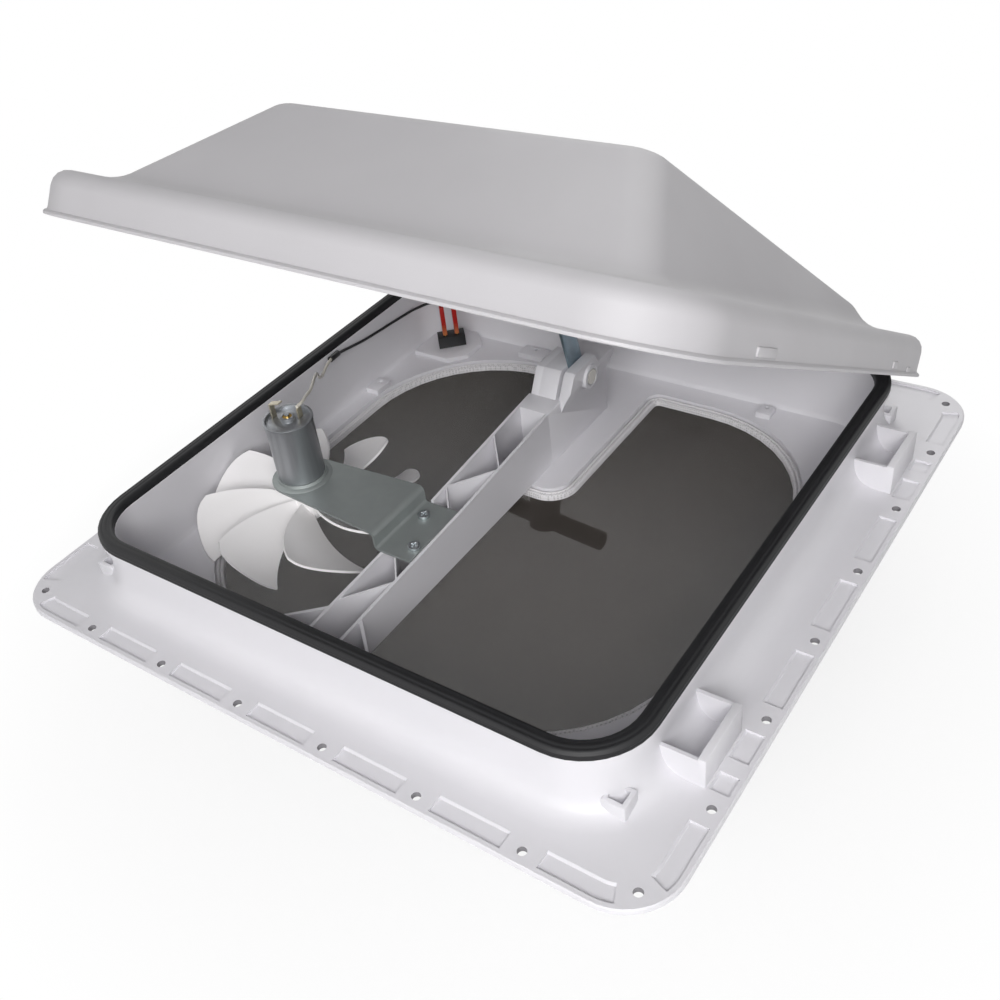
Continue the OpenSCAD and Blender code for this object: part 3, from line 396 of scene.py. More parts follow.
for quarter in range(4):
    turn = Matrix.Rotation(math.radians(90 * quarter), 3, "Z")
    start = len(cuts.verts)
    for step in range(6):
        x = (step - 2.5) * screw_pitch
        add_drum(cuts, (x, screw_line, -cut_past), (x, screw_line, flange_t + cut_past), hole_r, hole_steps)
    add_drum(cuts, (corner_at, corner_at, -cut_past), (corner_at, corner_at, flange_t + cut_past),
             hole_r, hole_steps)
    for step in range(-2, 3):
        near, far = (step - 0.5) * screw_pitch + land_half, (step + 0.5) * screw_pitch - land_half
        if quarter % 2 and abs(step) == 2:
            split = math.copysign(split_at, step)
            add_pocket(cuts, near, split - split_half)
            add_pocket(cuts, split + split_half, far)
        else:
            add_pocket(cuts, near, far)
    for side in (-1, 1):
        span = sorted((side * (2.5 * screw_pitch + land_half), side * bend_at))
        turn_corner(cuts, add_pocket(cuts, *span), side)
    cuts.verts.ensure_lookup_table()
    bmesh.ops.rotate(cuts, verts=cuts.verts[start:], matrix=turn)
for x in (-hinge_x, hinge_x):
    add_drum(cuts, (x - pin_bore_half, hinge_y, hinge_z), (x + pin_bore_half, hinge_y, hinge_z), pin_bore_r)
bmesh.ops.remove_doubles(cuts, verts=cuts.verts, dist=0.001)
bmesh.ops.recalc_face_normals(cuts, faces=cuts.faces)
combine(base_shell, to_object("cuts", cuts), "DIFFERENCE")
smooth_shade(base_shell)

# The walls of the screw holes are picked out with a face attribute and painted a darker grey: painted shade
# for the dark space under the flange that the holes look into.
hole_places = [(corner_at * sx, corner_at * sy) for sx in (-1, 1) for sy in (-1, 1)]
for step in range(6):
    for side in (-screw_line, screw_line):
        along = (step - 2.5) * screw_pitch
        hole_places += [(along, side), (side, along)]
marks = base_shell.data.attributes.new("bore_painted_shade", "FLOAT", "FACE")
for polygon, mark in zip(base_shell.data.polygons, marks.data):
    x, y, z = polygon.center / MM
    upright = abs(polygon.normal.z) < 0.3
    mark.value = float(upright and any(math.hypot(x - px, y - py) < hole_r + 0.1 for px, py in hole_places))


def moulded_plastic(name, colour, shade, roughness, grain_mm, grain_height, shade_attribute=None):
    """Moulded plastic: an even colour with cloudy flow marks, the fine grain of a sparked mould, and painted
    shade on faces that an attribute picks out.
    """
    cloud_mm = 70
    material, tree = new_material(name)
    place = add_node(tree, "ShaderNodeTexCoord")
    clouds = add_node(tree, "ShaderNodeTexNoise",
                      {"Vector": place.outputs["Object"], "Scale": 1 / (cloud_mm * MM), "Detail": 4.0})
    colours = add_node(tree, "ShaderNodeMix",
                       {0: clouds.outputs["Fac"], 6: linear(colour), 7: linear(shade)}, data_type="RGBA")
    if shade_attribute:
        # Painted shade: faces that carry the attribute are mixed to a darker grey.
        mark = add_node(tree, "ShaderNodeAttribute", attribute_name=shade_attribute)
        colours = add_node(tree, "ShaderNodeMix",
                           {0: mark.outputs["Fac"], 6: colours.outputs[2], 7: linear("#7d7b7f")},
                           data_type="RGBA")
    grain = add_node(tree, "ShaderNodeTexNoise",
                     {"Vector": place.outputs["Object"], "Scale": 1 / (grain_mm * MM), "Detail": 3.0})
    polish = add_node(tree, "ShaderNodeMapRange",
                      {"Value": clouds.outputs["Fac"],
                       "To Min": roughness - 0.06, "To Max": roughness + 0.08})
    bump = add_node(tree, "ShaderNodeBump",
                    {"Height": grain.outputs["Fac"], "Strength": 0.25, "Distance": grain_height * MM})
    surface = add_node(tree, "ShaderNodeBsdfPrincipled",
                       {"Base Color": colours.outputs[2], "Roughness": polish.outputs["Result"],
                        "Normal": bump.outputs["Normal"], "IOR": 1.5})
    add_node(tree, "ShaderNodeOutputMaterial", {"Surface": surface.outputs[0]})
    return material


# ABS: a slightly cool white, satin from the mould, with a soft highlight on its round edges. The walls of the
# screw holes take painted shade.
abs_white = moulded_plastic("abs_white", "#dcdade", "#d4d3d7", 0.40, 1.6, 0.05, shade_attribute="bore_painted_shade")
dress(base_shell, abs_white, "base", "base_frame")

# Rim gasket: extruded EPDM strip, black, with fine ribs along it, pushed over the collar's rim.
# Its outer edge turns down a little over the rim.
strip = bmesh.new()
gasket_bend = 146.5
gasket_rings = [corner_ring(strip, half, half - gasket_bend, z) for half, z in (
    (176.6, rim_top), (186.2, rim_top), (186.3, 40.6), (185.9, 41.1), (185.9, 41.5), (186.2, 41.9),
    (186.0, 42.7), (185.5, 43.0), (185.3, 43.4), (184.6, 44.1), (183.6, 44.3), (183.2, 44.1), (182.4, 44.5),
    (180.8, 44.7), (180.4, 44.4), (179.6, 44.6), (178.2, 44.4), (177.2, 43.6), (176.7, 42.4))]
join_rings(strip, gasket_rings + gasket_rings[:1])
bmesh.ops.recalc_face_normals(strip, faces=strip.faces)
gasket_strip = to_object("gasket_strip", strip)
smooth_shade(gasket_strip, 60)


def dull_rubber(name, colour, shade):
    """Extruded rubber: near black, with a bloom that makes it greyer in patches and a fine skin."""
    bloom_mm, skin_mm, skin_height = 35, 0.9, 0.04
    material, tree = new_material(name)
    place = add_node(tree, "ShaderNodeTexCoord")
    bloom = add_node(tree, "ShaderNodeTexNoise",
                     {"Vector": place.outputs["Object"], "Scale": 1 / (bloom_mm * MM), "Detail": 5.0})
    colours = add_node(tree, "ShaderNodeMix",
                       {0: bloom.outputs["Fac"], 6: linear(colour), 7: linear(shade)}, data_type="RGBA")
    skin = add_node(tree, "ShaderNodeTexNoise",
                    {"Vector": place.outputs["Object"], "Scale": 1 / (skin_mm * MM), "Detail": 2.0})
    bump = add_node(tree, "ShaderNodeBump",
                    {"Height": skin.outputs["Fac"], "Strength": 0.3, "Distance": skin_height * MM})
    polish = add_node(tree, "ShaderNodeMapRange",
                      {"Value": bloom.outputs["Fac"], "To Min": 0.42, "To Max": 0.62})
    surface = add_node(tree, "ShaderNodeBsdfPrincipled",
                       {"Base Color": colours.outputs[2], "Roughness": polish.outputs["Result"],
                        "Normal": bump.outputs["Normal"], "IOR": 1.52, "Specular IOR Level": 0.35})
    add_node(tree, "ShaderNodeOutputMaterial", {"Surface": surface.outputs[0]})
    return material


# EPDM rubber: black and dull, with a weak sheen along its ribs.
epdm_black = dull_rubber("epdm_black", "#0f0f11", "#1a1a1c")
dress(gasket_strip, epdm_black, "base", "rim_gasket")

# Insect screen: glass-fibre net coated in dark grey vinyl, held under the screen frame.
# The strands are set closer and thicker than in the usual 1.4 mm net, so that little of the lit paper below
# shows through: the net is a real dark grey, and its close weave is painted shade for the dark space under
# the vent.
net = bmesh.new()
strand_pitch = 0.6
strand_half = 0.217
net_z = -15.2
strand_lift = 0.1
strand_sides = 4
net_x, net_y, net_r = 160, 157, 91.5
tongue_x, tongue_half, tongue_front, tongue_r = -1.75, 26.25, 28, 17


def chord(at, half_across, half_along):
    """Half length of a strand that crosses the rounded outline at a distance from its middle."""
    past = abs(at) - (half_across - net_r)
    if past <= 0:
        return half_along
    return half_along - net_r + math.sqrt(max(net_r * net_r - past * past, 0))


def add_strand(bm, start, end, z):
    """One strand between two places at a height, as a thin bar with a square section."""
    add_drum(bm, (*start, z), (*end, z), strand_half, strand_sides)


def beside_round(across):
    """How far the tongue's rounded corner falls back at a distance past where it starts."""
    return tongue_r - math.sqrt(max(tongue_r * tongue_r - max(across, 0) ** 2, 0))


count = int(net_x / strand_pitch)
for step in range(-count, count + 1):
    x = step * strand_pitch
    reach = chord(x, net_x, net_y)
    across = abs(x - tongue_x)
    top = reach
    if across < tongue_half:
        top = tongue_front + beside_round(across - tongue_half + tongue_r)
    add_strand(net, (x, -reach), (x, top), net_z + strand_lift)
count = int(net_y / strand_pitch)
for step in range(-count, count + 1):
    y = step * strand_pitch
    reach = chord(y, net_y, net_x)
    if y <= tongue_front:
        add_strand(net, (-reach, y), (reach, y), net_z - strand_lift)
        continue
    inner = tongue_half - beside_round(tongue_front + tongue_r - y)
    add_strand(net, (-reach, y), (tongue_x - inner, y), net_z - strand_lift)
    add_strand(net, (tongue_x + inner, y), (reach, y), net_z - strand_lift)
net_strands = to_object("net_strands", net)

# Vinyl over glass fibre: dark grey with a brown cast, matt.
vinyl_net = dull_rubber("vinyl_coated_glass_fibre", "#403a36", "#36312d")
dress(net_strands, vinyl_net, "base", "insect_screen")


# Screen frame and catches: the pale moulded frame that holds the net, two beads with a groove between.
# The net is pressed into the beads, so they look dotted; the catches hold the frame to the floor.
def softened(node, round_by):
    """A merged copy of a node's mesh, with its sharp edges rounded as a mould or a press leaves them."""
    flat, sharp = math.radians(1), math.radians(30)
    bm = bmesh.new()
    bm.from_mesh(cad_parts[node].data)
    bmesh.ops.scale(bm, vec=(1 / MM, 1 / MM, 1 / MM), verts=bm.verts)
    bmesh.ops.remove_doubles(bm, verts=bm.verts, dist=0.002)
    bmesh.ops.dissolve_limit(bm, angle_limit=flat, verts=bm.verts, edges=bm.edges)
    edges = [e for e in bm.edges if len(e.link_faces) == 2 and e.calc_face_angle(0) > sharp]
    round_off(bm, edges, round_by, 2, clamp=True)
    bmesh.ops.remove_doubles(bm, verts=bm.verts, dist=0.0005)
    piece = to_object(node + "_soft", bm)
    smooth_shade(piece, 40)
    return piece


bead = bmesh.new()
bead_rings = [opening_ring(bead, inset, z) for inset, z in (
    (-6, -12.3), (0.6, -12.4), (0.75, -11.3), (1.2, -10.8), (2.0, -10.7), (2.5, -11.2), (2.65, -12.6),
    (3.0, -12.5), (3.15, -11.6), (3.6, -11.1), (4.8, -11.2), (5.4, -11.8), (5.5, -15.0), (-6, -14.9))]
join_rings(bead, bead_rings + bead_rings[:1])
bmesh.ops.recalc_face_normals(bead, faces=bead.faces)
screen_beads = to_object("screen_beads", bead)
smooth_shade(screen_beads, 50)

# ABS that the net was pressed into: grey-white, with rows of small pits. Each pit is painted a darker grey in
# its middle: painted shade in the pits.
pit_mm, pit_deep = 1.7, 0.2
screen_band, tree = new_material("abs_with_pressed_net")
place = add_node(tree, "ShaderNodeTexCoord")
dots = add_node(tree, "ShaderNodeTexVoronoi",
                {"Vector": place.outputs["Object"], "Scale": 1 / (pit_mm * MM), "Randomness": 0.2})
pits_and_painted_shade = add_node(tree, "ShaderNodeMapRange",
                 {"Value": dots.outputs["Distance"], "From Min": 0.2, "From Max": 0.5})
# Painted shade: the middle of each pit is mixed to the darker grey.
colours = add_node(tree, "ShaderNodeMix",
                   {0: pits_and_painted_shade.outputs["Result"], 6: linear("#b5b3b4"), 7: linear("#d8d6d8")}, data_type="RGBA")
bump = add_node(tree, "ShaderNodeBump",
                {"Height": pits_and_painted_shade.outputs["Result"], "Strength": 0.25, "Distance": pit_deep * MM})
surface = add_node(tree, "ShaderNodeBsdfPrincipled",
                   {"Base Color": colours.outputs[2], "Roughness": 0.55, "Normal": bump.outputs["Normal"]})
add_node(tree, "ShaderNodeOutputMaterial", {"Surface": surface.outputs[0]})
dress(screen_beads, screen_band, "base", "screen_frame")
dress(softened("screen_clips", 0.5), abs_white, "base", "screen_clips")

# Cross beam: open ribbed ABS girder from the front wall to the operator, moulded with the base's white.
# The fan's bracket is screwed to its side.
dress(softened("cross_beam", 0.45), abs_white, "base", "cross_beam")

# Operator: the two ABS halves of the tower that hold the gear, snapped together.
# An acetal bush lines the hole where the crank comes through.
dress(softened("operator_housing", 0.7), abs_white, "base", "operator_housing")
dress(softened("operator_cover", 0.7), abs_white, "base", "operator_cover")

# Acetal: a warmer white, slippery and a little glossy.
acetal = moulded_plastic("acetal_white", "#e2dfd8", "#d8d5ce", 0.32, 1.2, 0.03)
dress(softened("crank_bushing", 0.3), acetal, "base", "crank_bushing")

# Switch: a black rocker switch pressed into a seat in the corner, with two spade tabs on top.
# The red sleeves are vinyl, slipped over crimped connectors.
dress(softened("switch_plate", 0.6), abs_white, "base", "switch_plate")

# PBT: black, satin from the mould.
switch_black = moulded_plastic("pbt_black", "#0e0e10", "#17171a", 0.42, 1.0, 0.05)
dress(softened("switch_body", 0.5), switch_black, "base", "switch_body")
dress(softened("switch_rocker", 0.4), switch_black, "rocker", "switch_rocker")


def plated_metal(name, colour, shade, roughness, grain_mm, stretch=(1, 1, 1), bare=1.0):
    """Plated or drawn metal: a worked grain that varies its colour and polish."""
    grain_height = 0.03
    material, tree = new_material(name)
    place = add_node(tree, "ShaderNodeTexCoord")
    turn = add_node(tree, "ShaderNodeMapping", {"Vector": place.outputs["Object"], "Scale": stretch})
    grain = add_node(tree, "ShaderNodeTexNoise",
                     {"Vector": turn.outputs["Vector"], "Scale": 1 / (grain_mm * MM), "Detail": 5.0})
    colours = add_node(tree, "ShaderNodeMix",
                       {0: grain.outputs["Fac"], 6: linear(colour), 7: linear(shade)}, data_type="RGBA")
    polish = add_node(tree, "ShaderNodeMapRange",
                      {"Value": grain.outputs["Fac"], "To Min": roughness - 0.08, "To Max": roughness + 0.12})
    bump = add_node(tree, "ShaderNodeBump",
                    {"Height": grain.outputs["Fac"], "Strength": 0.12, "Distance": grain_height * MM})
    surface = add_node(tree, "ShaderNodeBsdfPrincipled",
                       {"Base Color": colours.outputs[2], "Roughness": polish.outputs["Result"],
                        "Normal": bump.outputs["Normal"], "Metallic": bare})
    add_node(tree, "ShaderNodeOutputMaterial", {"Surface": surface.outputs[0]})
    return material


# Brass: stamped strip, yellow and a little dulled.
brass = plated_metal("brass_strip", "#b8954c", "#8f7238", 0.3, 3)


def paint(material, *nodes):
    """Gives CAD nodes that keep their own mesh a finish."""
    for node in nodes:
        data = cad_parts[node].data
        data.materials.clear()
        data.materials.append(material)


paint(brass, "switch_blades", "motor_bushes")

# Vinyl: glossy red, thin enough at its lower end for the copper crimp to show through.
wander_mm, wander_by = 4, 0.012
crimp_low, crimp_high = 0.012, 0.020
sleeve_vinyl, tree = new_material("vinyl_red_over_copper")
place = add_node(tree, "ShaderNodeTexCoord")
height = add_node(tree, "ShaderNodeSeparateXYZ", {"Vector": place.outputs["Object"]})
wander = add_node(tree, "ShaderNodeTexNoise",
                  {"Vector": place.outputs["Object"], "Scale": 1 / (wander_mm * MM), "Detail": 2.0})
uneven = add_node(tree, "ShaderNodeMath",
                  {0: wander.outputs["Fac"], 1: wander_by, 2: height.outputs["Z"]}, operation="MULTIPLY_ADD")
crimp = add_node(tree, "ShaderNodeMapRange",
                 {"Value": uneven.outputs[0], "From Min": crimp_low, "From Max": crimp_high,
                  "To Min": 0.75, "To Max": 0.0})
colours = add_node(tree, "ShaderNodeMix",
                   {0: crimp.outputs["Result"], 6: linear("#a8221c"), 7: linear("#b8733f")}, data_type="RGBA")
surface = add_node(tree, "ShaderNodeBsdfPrincipled", {"Base Color": colours.outputs[2], "Roughness": 0.3})
add_node(tree, "ShaderNodeOutputMaterial", {"Surface": surface.outputs[0]})
dress(softened("spade_sleeves", 1.2), sleeve_vinyl, "base", "spade_sleeves")

# Motor bracket: zinc-plated steel sheet, bent down to the beam and drawn up into a seat for the motor.
# Two cross-head screws hold its foot.
sheet = bmesh.new()
sheet_t = 1.5
motor_x, motor_y = -102.5, -69
foot_z, plate_z = 22.0, 33.5
foot_half, end_half = 25.0, 19.5
foot_end, taper_from = -0.8, -29
low_bend_x, low_bend_r = -23.25, 2.25
high_bend_x, high_bend_r = -29.25, 3.75
path = [(foot_end, foot_z), (low_bend_x, foot_z)]
for degrees in (22.5, 45, 67.5, 90):
    around = math.radians(degrees)
    path.append((low_bend_x - low_bend_r * math.sin(around),
                 foot_z + low_bend_r - low_bend_r * math.cos(around)))
for degrees in (0, 22.5, 45, 67.5, 90):
    around = math.radians(degrees)
    path.append((high_bend_x + high_bend_r * math.cos(around),
                 plate_z - high_bend_r + high_bend_r * math.sin(around)))
path += [(x, plate_z) for x in (-45, -60, -75, -90)]
path += [(motor_x - end_half * math.sin(math.radians(turned)), plate_z) for turned in range(0, 91, 10)]
made = bmesh.ops.create_grid(sheet, x_segments=len(path) - 1, y_segments=6, size=0.5)["verts"]
for vert in made:
    x, z = path[round((vert.co.x + 0.5) * (len(path) - 1))]
    taper = min(max((taper_from - x) / (taper_from - motor_x), 0), 1)
    half = foot_half + (end_half - foot_half) * taper
    if x < motor_x:
        half = max(math.sqrt(max(end_half ** 2 - (x - motor_x) ** 2, 0)), 0.2)
    vert.co = (x, motor_y - 2 * half * vert.co.y, z)
sheet.normal_update()
bmesh.ops.solidify(sheet, geom=sheet.faces[:], thickness=sheet_t)
seat = [(19.2, plate_z - 0.1), (18.6, plate_z + 0.4), (17.4, plate_z + 0.8), (16.2, plate_z + 1.1),
        (15.6, plate_z + 2.9), (14, plate_z + 3)]


def spin_profile(bm, profile, steps):
    """Turns a line of radii and heights round the motor's axis."""
    points = [bm.verts.new((motor_x + r, motor_y, z)) for r, z in profile]
    lines = [bm.edges.new(pair) for pair in zip(points, points[1:])]
    bmesh.ops.spin(bm, geom=points + lines, cent=(motor_x, motor_y, 0), axis=(0, 0, 1), angle=math.tau,
                   steps=steps, use_merge=True)


spin_profile(sheet, seat, 40)
bmesh.ops.recalc_face_normals(sheet, faces=sheet.faces)
bracket_sheet = to_object("bracket_sheet", sheet)
smooth_shade(bracket_sheet, 40)

# Zinc on steel: grey and clouded where it has dulled on the sheet, bright on the screws.
zinc_sheet = plated_metal("zinc_plated_sheet", "#9da2a1", "#909695", 0.50, 14, bare=0.65)
bright_steel = plated_metal("bright_zinc_steel", "#d4d8da", "#b6bcc0", 0.22, 2)
dress(bracket_sheet, zinc_sheet, "base", "motor_bracket")
dress(softened("bracket_screws", 0.35), bright_steel, "base", "bracket_screws")

# Motor: a deep-drawn steel can with a pressed end cap, its magnets, brushes and terminals.
# The can shows faint upright draw marks.

# Drawn steel: a soft grey mirror with upright streaks.
can_steel = plated_metal("drawn_can_steel", "#a4a6a9", "#94979b", 0.32, 2.2, (1, 1, 0.06), bare=0.85)
dress(softened("motor_can", 0.6), can_steel, "base", "motor_can")
dress(softened("motor_end_cap", 0.5), can_steel, "base", "motor_end_cap")

# Ferrite is dark and matt, the tinned tabs are pale and the turned copper is warm and bright.
ferrite = moulded_plastic("ferrite", "#2b2b2d", "#1f1f21", 0.6, 0.8, 0.05)
tinned_tab = plated_metal("tinned_tab", "#d3cdbb", "#b7b09c", 0.42, 1.5)
copper = plated_metal("copper_segments", "#b87447", "#935a35", 0.3, 2)
paint(ferrite, "motor_magnets", "motor_brushes")

# The left terminal stands up and hooks back over the cap, and the right one stands beside the bearing.
tabs = bmesh.new()
can_top = 77.2
tab_foot, tab_round = can_top - 4.5, 0.2
hook_degrees = -18
add_box(tabs, (motor_x - 11, motor_y - 3, tab_foot), (motor_x - 10, motor_y + 1, can_top + 8), tab_round)
add_box(tabs, (motor_x + 4.5, motor_y + 4, tab_foot), (motor_x + 5.5, motor_y + 8, can_top + 5), tab_round)
start = len(tabs.verts)
add_box(tabs, (motor_x - 11, motor_y - 3, can_top + 7.5), (motor_x - 1.5, motor_y + 1, can_top + 8.5),
        tab_round)
tabs.verts.ensure_lookup_table()
bmesh.ops.rotate(tabs, verts=tabs.verts[start:], cent=(motor_x - 10.5, motor_y, can_top + 8),
                 matrix=Matrix.Rotation(math.radians(hook_degrees), 3, "Y"))
terminal_tabs = to_object("terminal_tabs", tabs)
dress(terminal_tabs, tinned_tab, "base", "motor_terminals")
paint(bright_steel, "motor_screws", "motor_shaft")
paint(can_steel, "motor_rotor")
paint(copper, "commutator")

# Fan: eight broad curved blades on a small hub, one polypropylene moulding pushed on the shaft.
# Each blade leans forward as it goes out and slopes down from its rounder, clockwise edge.
fan = bmesh.new()
blade_count = 8
hub_r, tip_r = 8.5, 72.6
root_in = 1.5
blade_middle, blade_z, blade_t = -85, 12.2, 1.5
blade_width, blade_narrows = 42, 6
blade_sweep, blade_pitch, blade_camber = 16, 21, 1.5
for blade in range(blade_count):
    made = bmesh.ops.create_grid(fan, x_segments=14, y_segments=10, size=0.5)["verts"]
    for vert in made:
        out = vert.co.x + 0.5
        round_by = vert.co.y + 0.5
        reach = tip_r - 6 * (1 - round_by) ** 6 - 2 * round_by ** 14
        radius = hub_r - root_in + (reach - hub_r + root_in) * out
        width = blade_width - blade_narrows * out
        sweep = blade_sweep * (out ** 1.6 - 1)
        angle = math.radians(blade_middle + 360 / blade_count * blade + sweep + width * (round_by - 0.5))
        pitch = blade_pitch * (0.5 - round_by) * (0.45 + 0.55 * out)
        camber = blade_camber * math.sin(math.pi * round_by) * out
        vert.co = (motor_x + radius * math.cos(angle), motor_y + radius * math.sin(angle),
                   blade_z + pitch + camber)
fan.normal_update()
bmesh.ops.solidify(fan, geom=fan.faces[:], thickness=blade_t)
hub_profile = [(0, 3), (6.5, 3), (8.2, 3.6), (9, 5), (8.4, 24), (7.4, 25.6), (5.6, 26), (0, 26)]
spin_profile(fan, hub_profile, 32)
bmesh.ops.remove_doubles(fan, verts=fan.verts, dist=0.001)
bmesh.ops.recalc_face_normals(fan, faces=fan.faces)
fan_moulding = to_object("fan_moulding", fan)
smooth_shade(fan_moulding, 50)

# Polypropylene: a clean white with a waxy sheen.
pp_white = moulded_plastic("polypropylene_white", "#f1efef", "#eae8e9", 0.36, 2.4, 0.03)
dress(fan_moulding, pp_white, "fan", "fan_blades")

# Wires: a thin white lead from the motor's tab, crimped to a black one that goes to the switch.
# Both are vinyl-covered strand that keeps the bends it was given.
wire_r = 1.0
left, back = -well_half, well_half
white_route = [
    (left + 79, -64, can_top + 6.1), (left + 78, -58, can_top + 6), (left + 72.5, -50, can_top + 3),
    (left + 64.5, -37, can_top - 1.5), (left + 54.5, -24, can_top - 5.5), (left + 43.5, -11, can_top - 11.5),
    (left + 33.5, 0, 57.5), (left + 24.5, 10, 46.7), (left + 17.5, 20, 42.2), (left + 11.5, 31, 41.5),
    (left + 7.5, 41, 40.5)]
black_route = [
    (left + 6, 47, 39.5), (left + 4.9, 56, 37.5), (left + 4.1, 67, 35), (left + 3.5, 80, 32.5),
    (left + 3, 95, 30.5), (left + 4.5, back - 54.5, 29), (left + 9.5, back - 36, 29.8),
    (left + 16, back - 27.5, 30.4), (left + 22.8, back - 26, 29.6)]


def wire(name, route):
    """A smooth round tube through the points of a route."""
    points = [Vector(p) * MM for p in route]
    curve = bpy.data.curves.new(name, "CURVE")
    curve.dimensions = "3D"
    curve.bevel_depth = wire_r * MM
    curve.bevel_resolution = 4
    curve.resolution_u = 8
    curve.use_fill_caps = True
    spline = curve.splines.new("BEZIER")
    spline.bezier_points.add(len(points) - 1)
    for bezier, point in zip(spline.bezier_points, points):
        bezier.co = point
        bezier.handle_left_type = "AUTO"
        bezier.handle_right_type = "AUTO"
    drawn = bpy.data.objects.new(name + "_line", curve)
    scene.collection.objects.link(drawn)
    data = finished_mesh(drawn)
    bpy.data.objects.remove(drawn)
    piece = bpy.data.objects.new(name, data)
    scene.collection.objects.link(piece)
    smooth_shade(piece, 50)
    return piece


# PVC: soft and satin, the white one yellowed a little.
pvc_white = moulded_plastic("pvc_cream_white", "#d9d5ca", "#cbc6ba", 0.40, 3, 0.03)
pvc_black = moulded_plastic("pvc_black", "#161617", "#1f1f20", 0.42, 3, 0.03)
dress(wire("white_lead", white_route), pvc_white, "base", "white_wire")
dress(wire("black_lead", black_route), pvc_black, "base", "black_wire")
dress(softened("wire_splice", 0.3), pvc_black, "base", "wire_splice")

# Crank: a dark moulded handle on a steel shaft that carries the worm.
# The cross bar is hollow at its ends, as the moulding leaves it.

# Glass-filled nylon: almost black with a blue cast, and a rough skin.
navy_nylon = moulded_plastic("glass_filled_nylon_navy", "#14161c", "#1d2029", 0.45, 1.4, 0.08)
dress(softened("crank_handle", 1.0), navy_nylon, "crank", "crank_handle")
paint(bright_steel, "worm", "crank_shaft", "crank_screw")

# Lift arm: a steel strip that lifts the lid. It turns on a pin in the tower, driven by a plastic wheel,
# and its far end carries a roller on a steel pin, which runs in the lid's rail.

# Blue-passivated zinc: bright, with a cold blue cast.
blue_zinc = plated_metal("blue_passivated_zinc", "#9fb2bc", "#86979f", 0.32, 8)
dress(softened("lift_arm", 0.35), blue_zinc, "lift_arm", "lift_arm")
paint(acetal, "worm_wheel", "arm_roller", "pivot_pin")
paint(bright_steel, "roller_pin", "rail_screws", "hinge_pins")

# Lid: one white polypropylene moulding, a thin shell with a skirt, a lip and a raised dome.
# Its knuckles turn on two steel pins behind the collar, and a slotted rail inside takes the arm.
lid = bmesh.new()
lid_half = 194.0
lip_z = 23.5
lid_wall = 2.5
skirt_h = 24.0
open_angle = math.radians(31.2)
front_steps, back_steps = 14, 6


def lid_ring(bm, corners, front_r, back_r):
    """Edges of an outline through four corners, front pair first, with larger arcs at the front."""
    before = set(bm.faces)
    verts = [bm.verts.new(c) for c in corners]
    bm.faces.new(verts)
    for pair, radius, steps in ((verts[:2], front_r, front_steps), (verts[2:], back_r, back_steps)):
        round_off(bm, pair, radius, steps, "VERTICES")
    return next(f for f in bm.faces if f not in before)


def lid_square(half, height, front_r, back_r):
    """Corners and radii of the lid's outline at a height over its lip."""
    z = lip_z + height
    return ((-half, -half, z), (half, -half, z), (half, half, z), (-half, half, z)), front_r, back_r


def ring_edges(bm, face, keep=False):
    """Edges round a face, which is taken away unless it is kept."""
    edges = list(face.edges)
    if not keep:
        bmesh.ops.delete(bm, geom=[face], context="FACES_ONLY")
    return edges


side_rings = [ring_edges(lid, lid_ring(lid, *lid_square(half, height, front_r, back_r)))
              for half, height, front_r, back_r in (
                  (193.4, 0, 47.4, 11.4), (193.8, 0.5, 47.8, 11.8), (193.8, 1.4, 47.8, 11.8),
                  (193.0, 2.2, 47.0, 11.0), (192.0, 2.7, 46.0, 10.0), (191.7, 3.6, 45.7, 9.7),
                  (190.9, skirt_h, 44.9, 8.9))]
dome_back, dome_front, dome_side = lid_half - 25, lid_half - 354, 160.0
base_z = lip_z + skirt_h
dome_foot = ((-dome_side, dome_front, base_z), (dome_side, dome_front, base_z),
             (dome_side, dome_back, base_z), (-dome_side, dome_back, base_z))
valley = ring_edges(lid, lid_ring(lid, dome_foot, 18, 8))
ridge_y, ridge_z, ridge_half = lid_half - 283, lip_z + 82, 115.0
step_y, step_z, step_half = lid_half - 40, lip_z + 37, 149.9
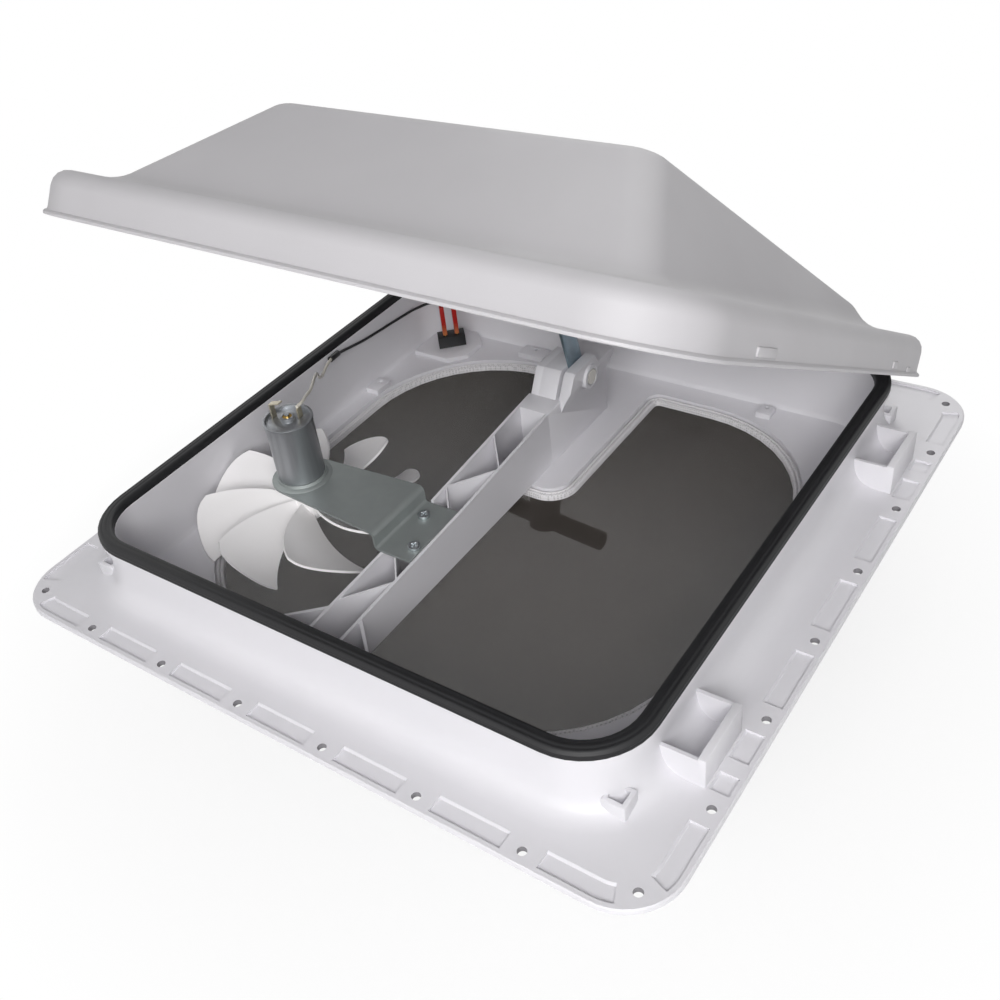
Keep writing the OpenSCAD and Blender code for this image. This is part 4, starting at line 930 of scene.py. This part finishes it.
dome_top = ((-ridge_half, ridge_y, ridge_z), (ridge_half, ridge_y, ridge_z),
            (step_half, step_y, step_z), (-step_half, step_y, step_z))
top_edges = ring_edges(lid, lid_ring(lid, dome_top, 14, 8), keep=True)
join_rings(lid, side_rings + [valley, top_edges])
for edges, width, steps in ((top_edges, 15, 5), (valley, 7, 4), (side_rings[-1], 9, 4)):
    round_off(lid, [e for e in edges if e.is_valid], width, steps, clamp=True)
bmesh.ops.remove_doubles(lid, verts=lid.verts, dist=0.002)
bmesh.ops.recalc_face_normals(lid, faces=lid.faces)
bmesh.ops.solidify(lid, geom=lid.faces[:], thickness=lid_wall)

# Three low nibs on the right side of the skirt, then the hinge knuckles.
nib_in, nib_out = 190.4, 192.6
for y, half_l, low, high in ((-103, 12, 3.4, 8), (122, 5, 3.6, 8), (158, 4, 1.5, 5.5)):
    add_box(lid, (nib_in, y - half_l, lip_z + low), (nib_out, y + half_l, lip_z + high), 0.9)
knuckle_half, knuckle_r = 12, 6
for x in (-hinge_x, hinge_x):
    add_drum(lid, (x - knuckle_half, hinge_y, hinge_z), (x + knuckle_half, hinge_y, hinge_z), knuckle_r)
    add_box(lid, (x - knuckle_half, lid_half - 3.5, hinge_z - knuckle_r),
            (x + knuckle_half, hinge_y, hinge_z + knuckle_r), 0.5)

# The shell was drawn shut, and is turned about its hinge to where it stands open.
closed_to_open = (Matrix.Translation((0, hinge_y, hinge_z)) @ Matrix.Rotation(-open_angle, 4, "X")
                  @ Matrix.Translation((0, -hinge_y, -hinge_z)))
bmesh.ops.transform(lid, matrix=closed_to_open, verts=lid.verts)
lid_shell = to_object("lid_shell", lid)
smooth_shade(lid_shell, 30)

# Polypropylene lid: matt, with little gloss on its skin. Its colour is a grey off-white, darker than the
# base's white: painted shade for the light that falls less on the lid's upward faces.
lid_shaded_grey = moulded_plastic("polypropylene_lid_painted_shade", "#bfbdc0", "#b8b6b9", 0.52, 2.0, 0.06)
dress(lid_shell, lid_shaded_grey, "lid", "lid_dome")
dress(softened("lift_rail", 0.5), abs_white, "lid", "lift_rail")
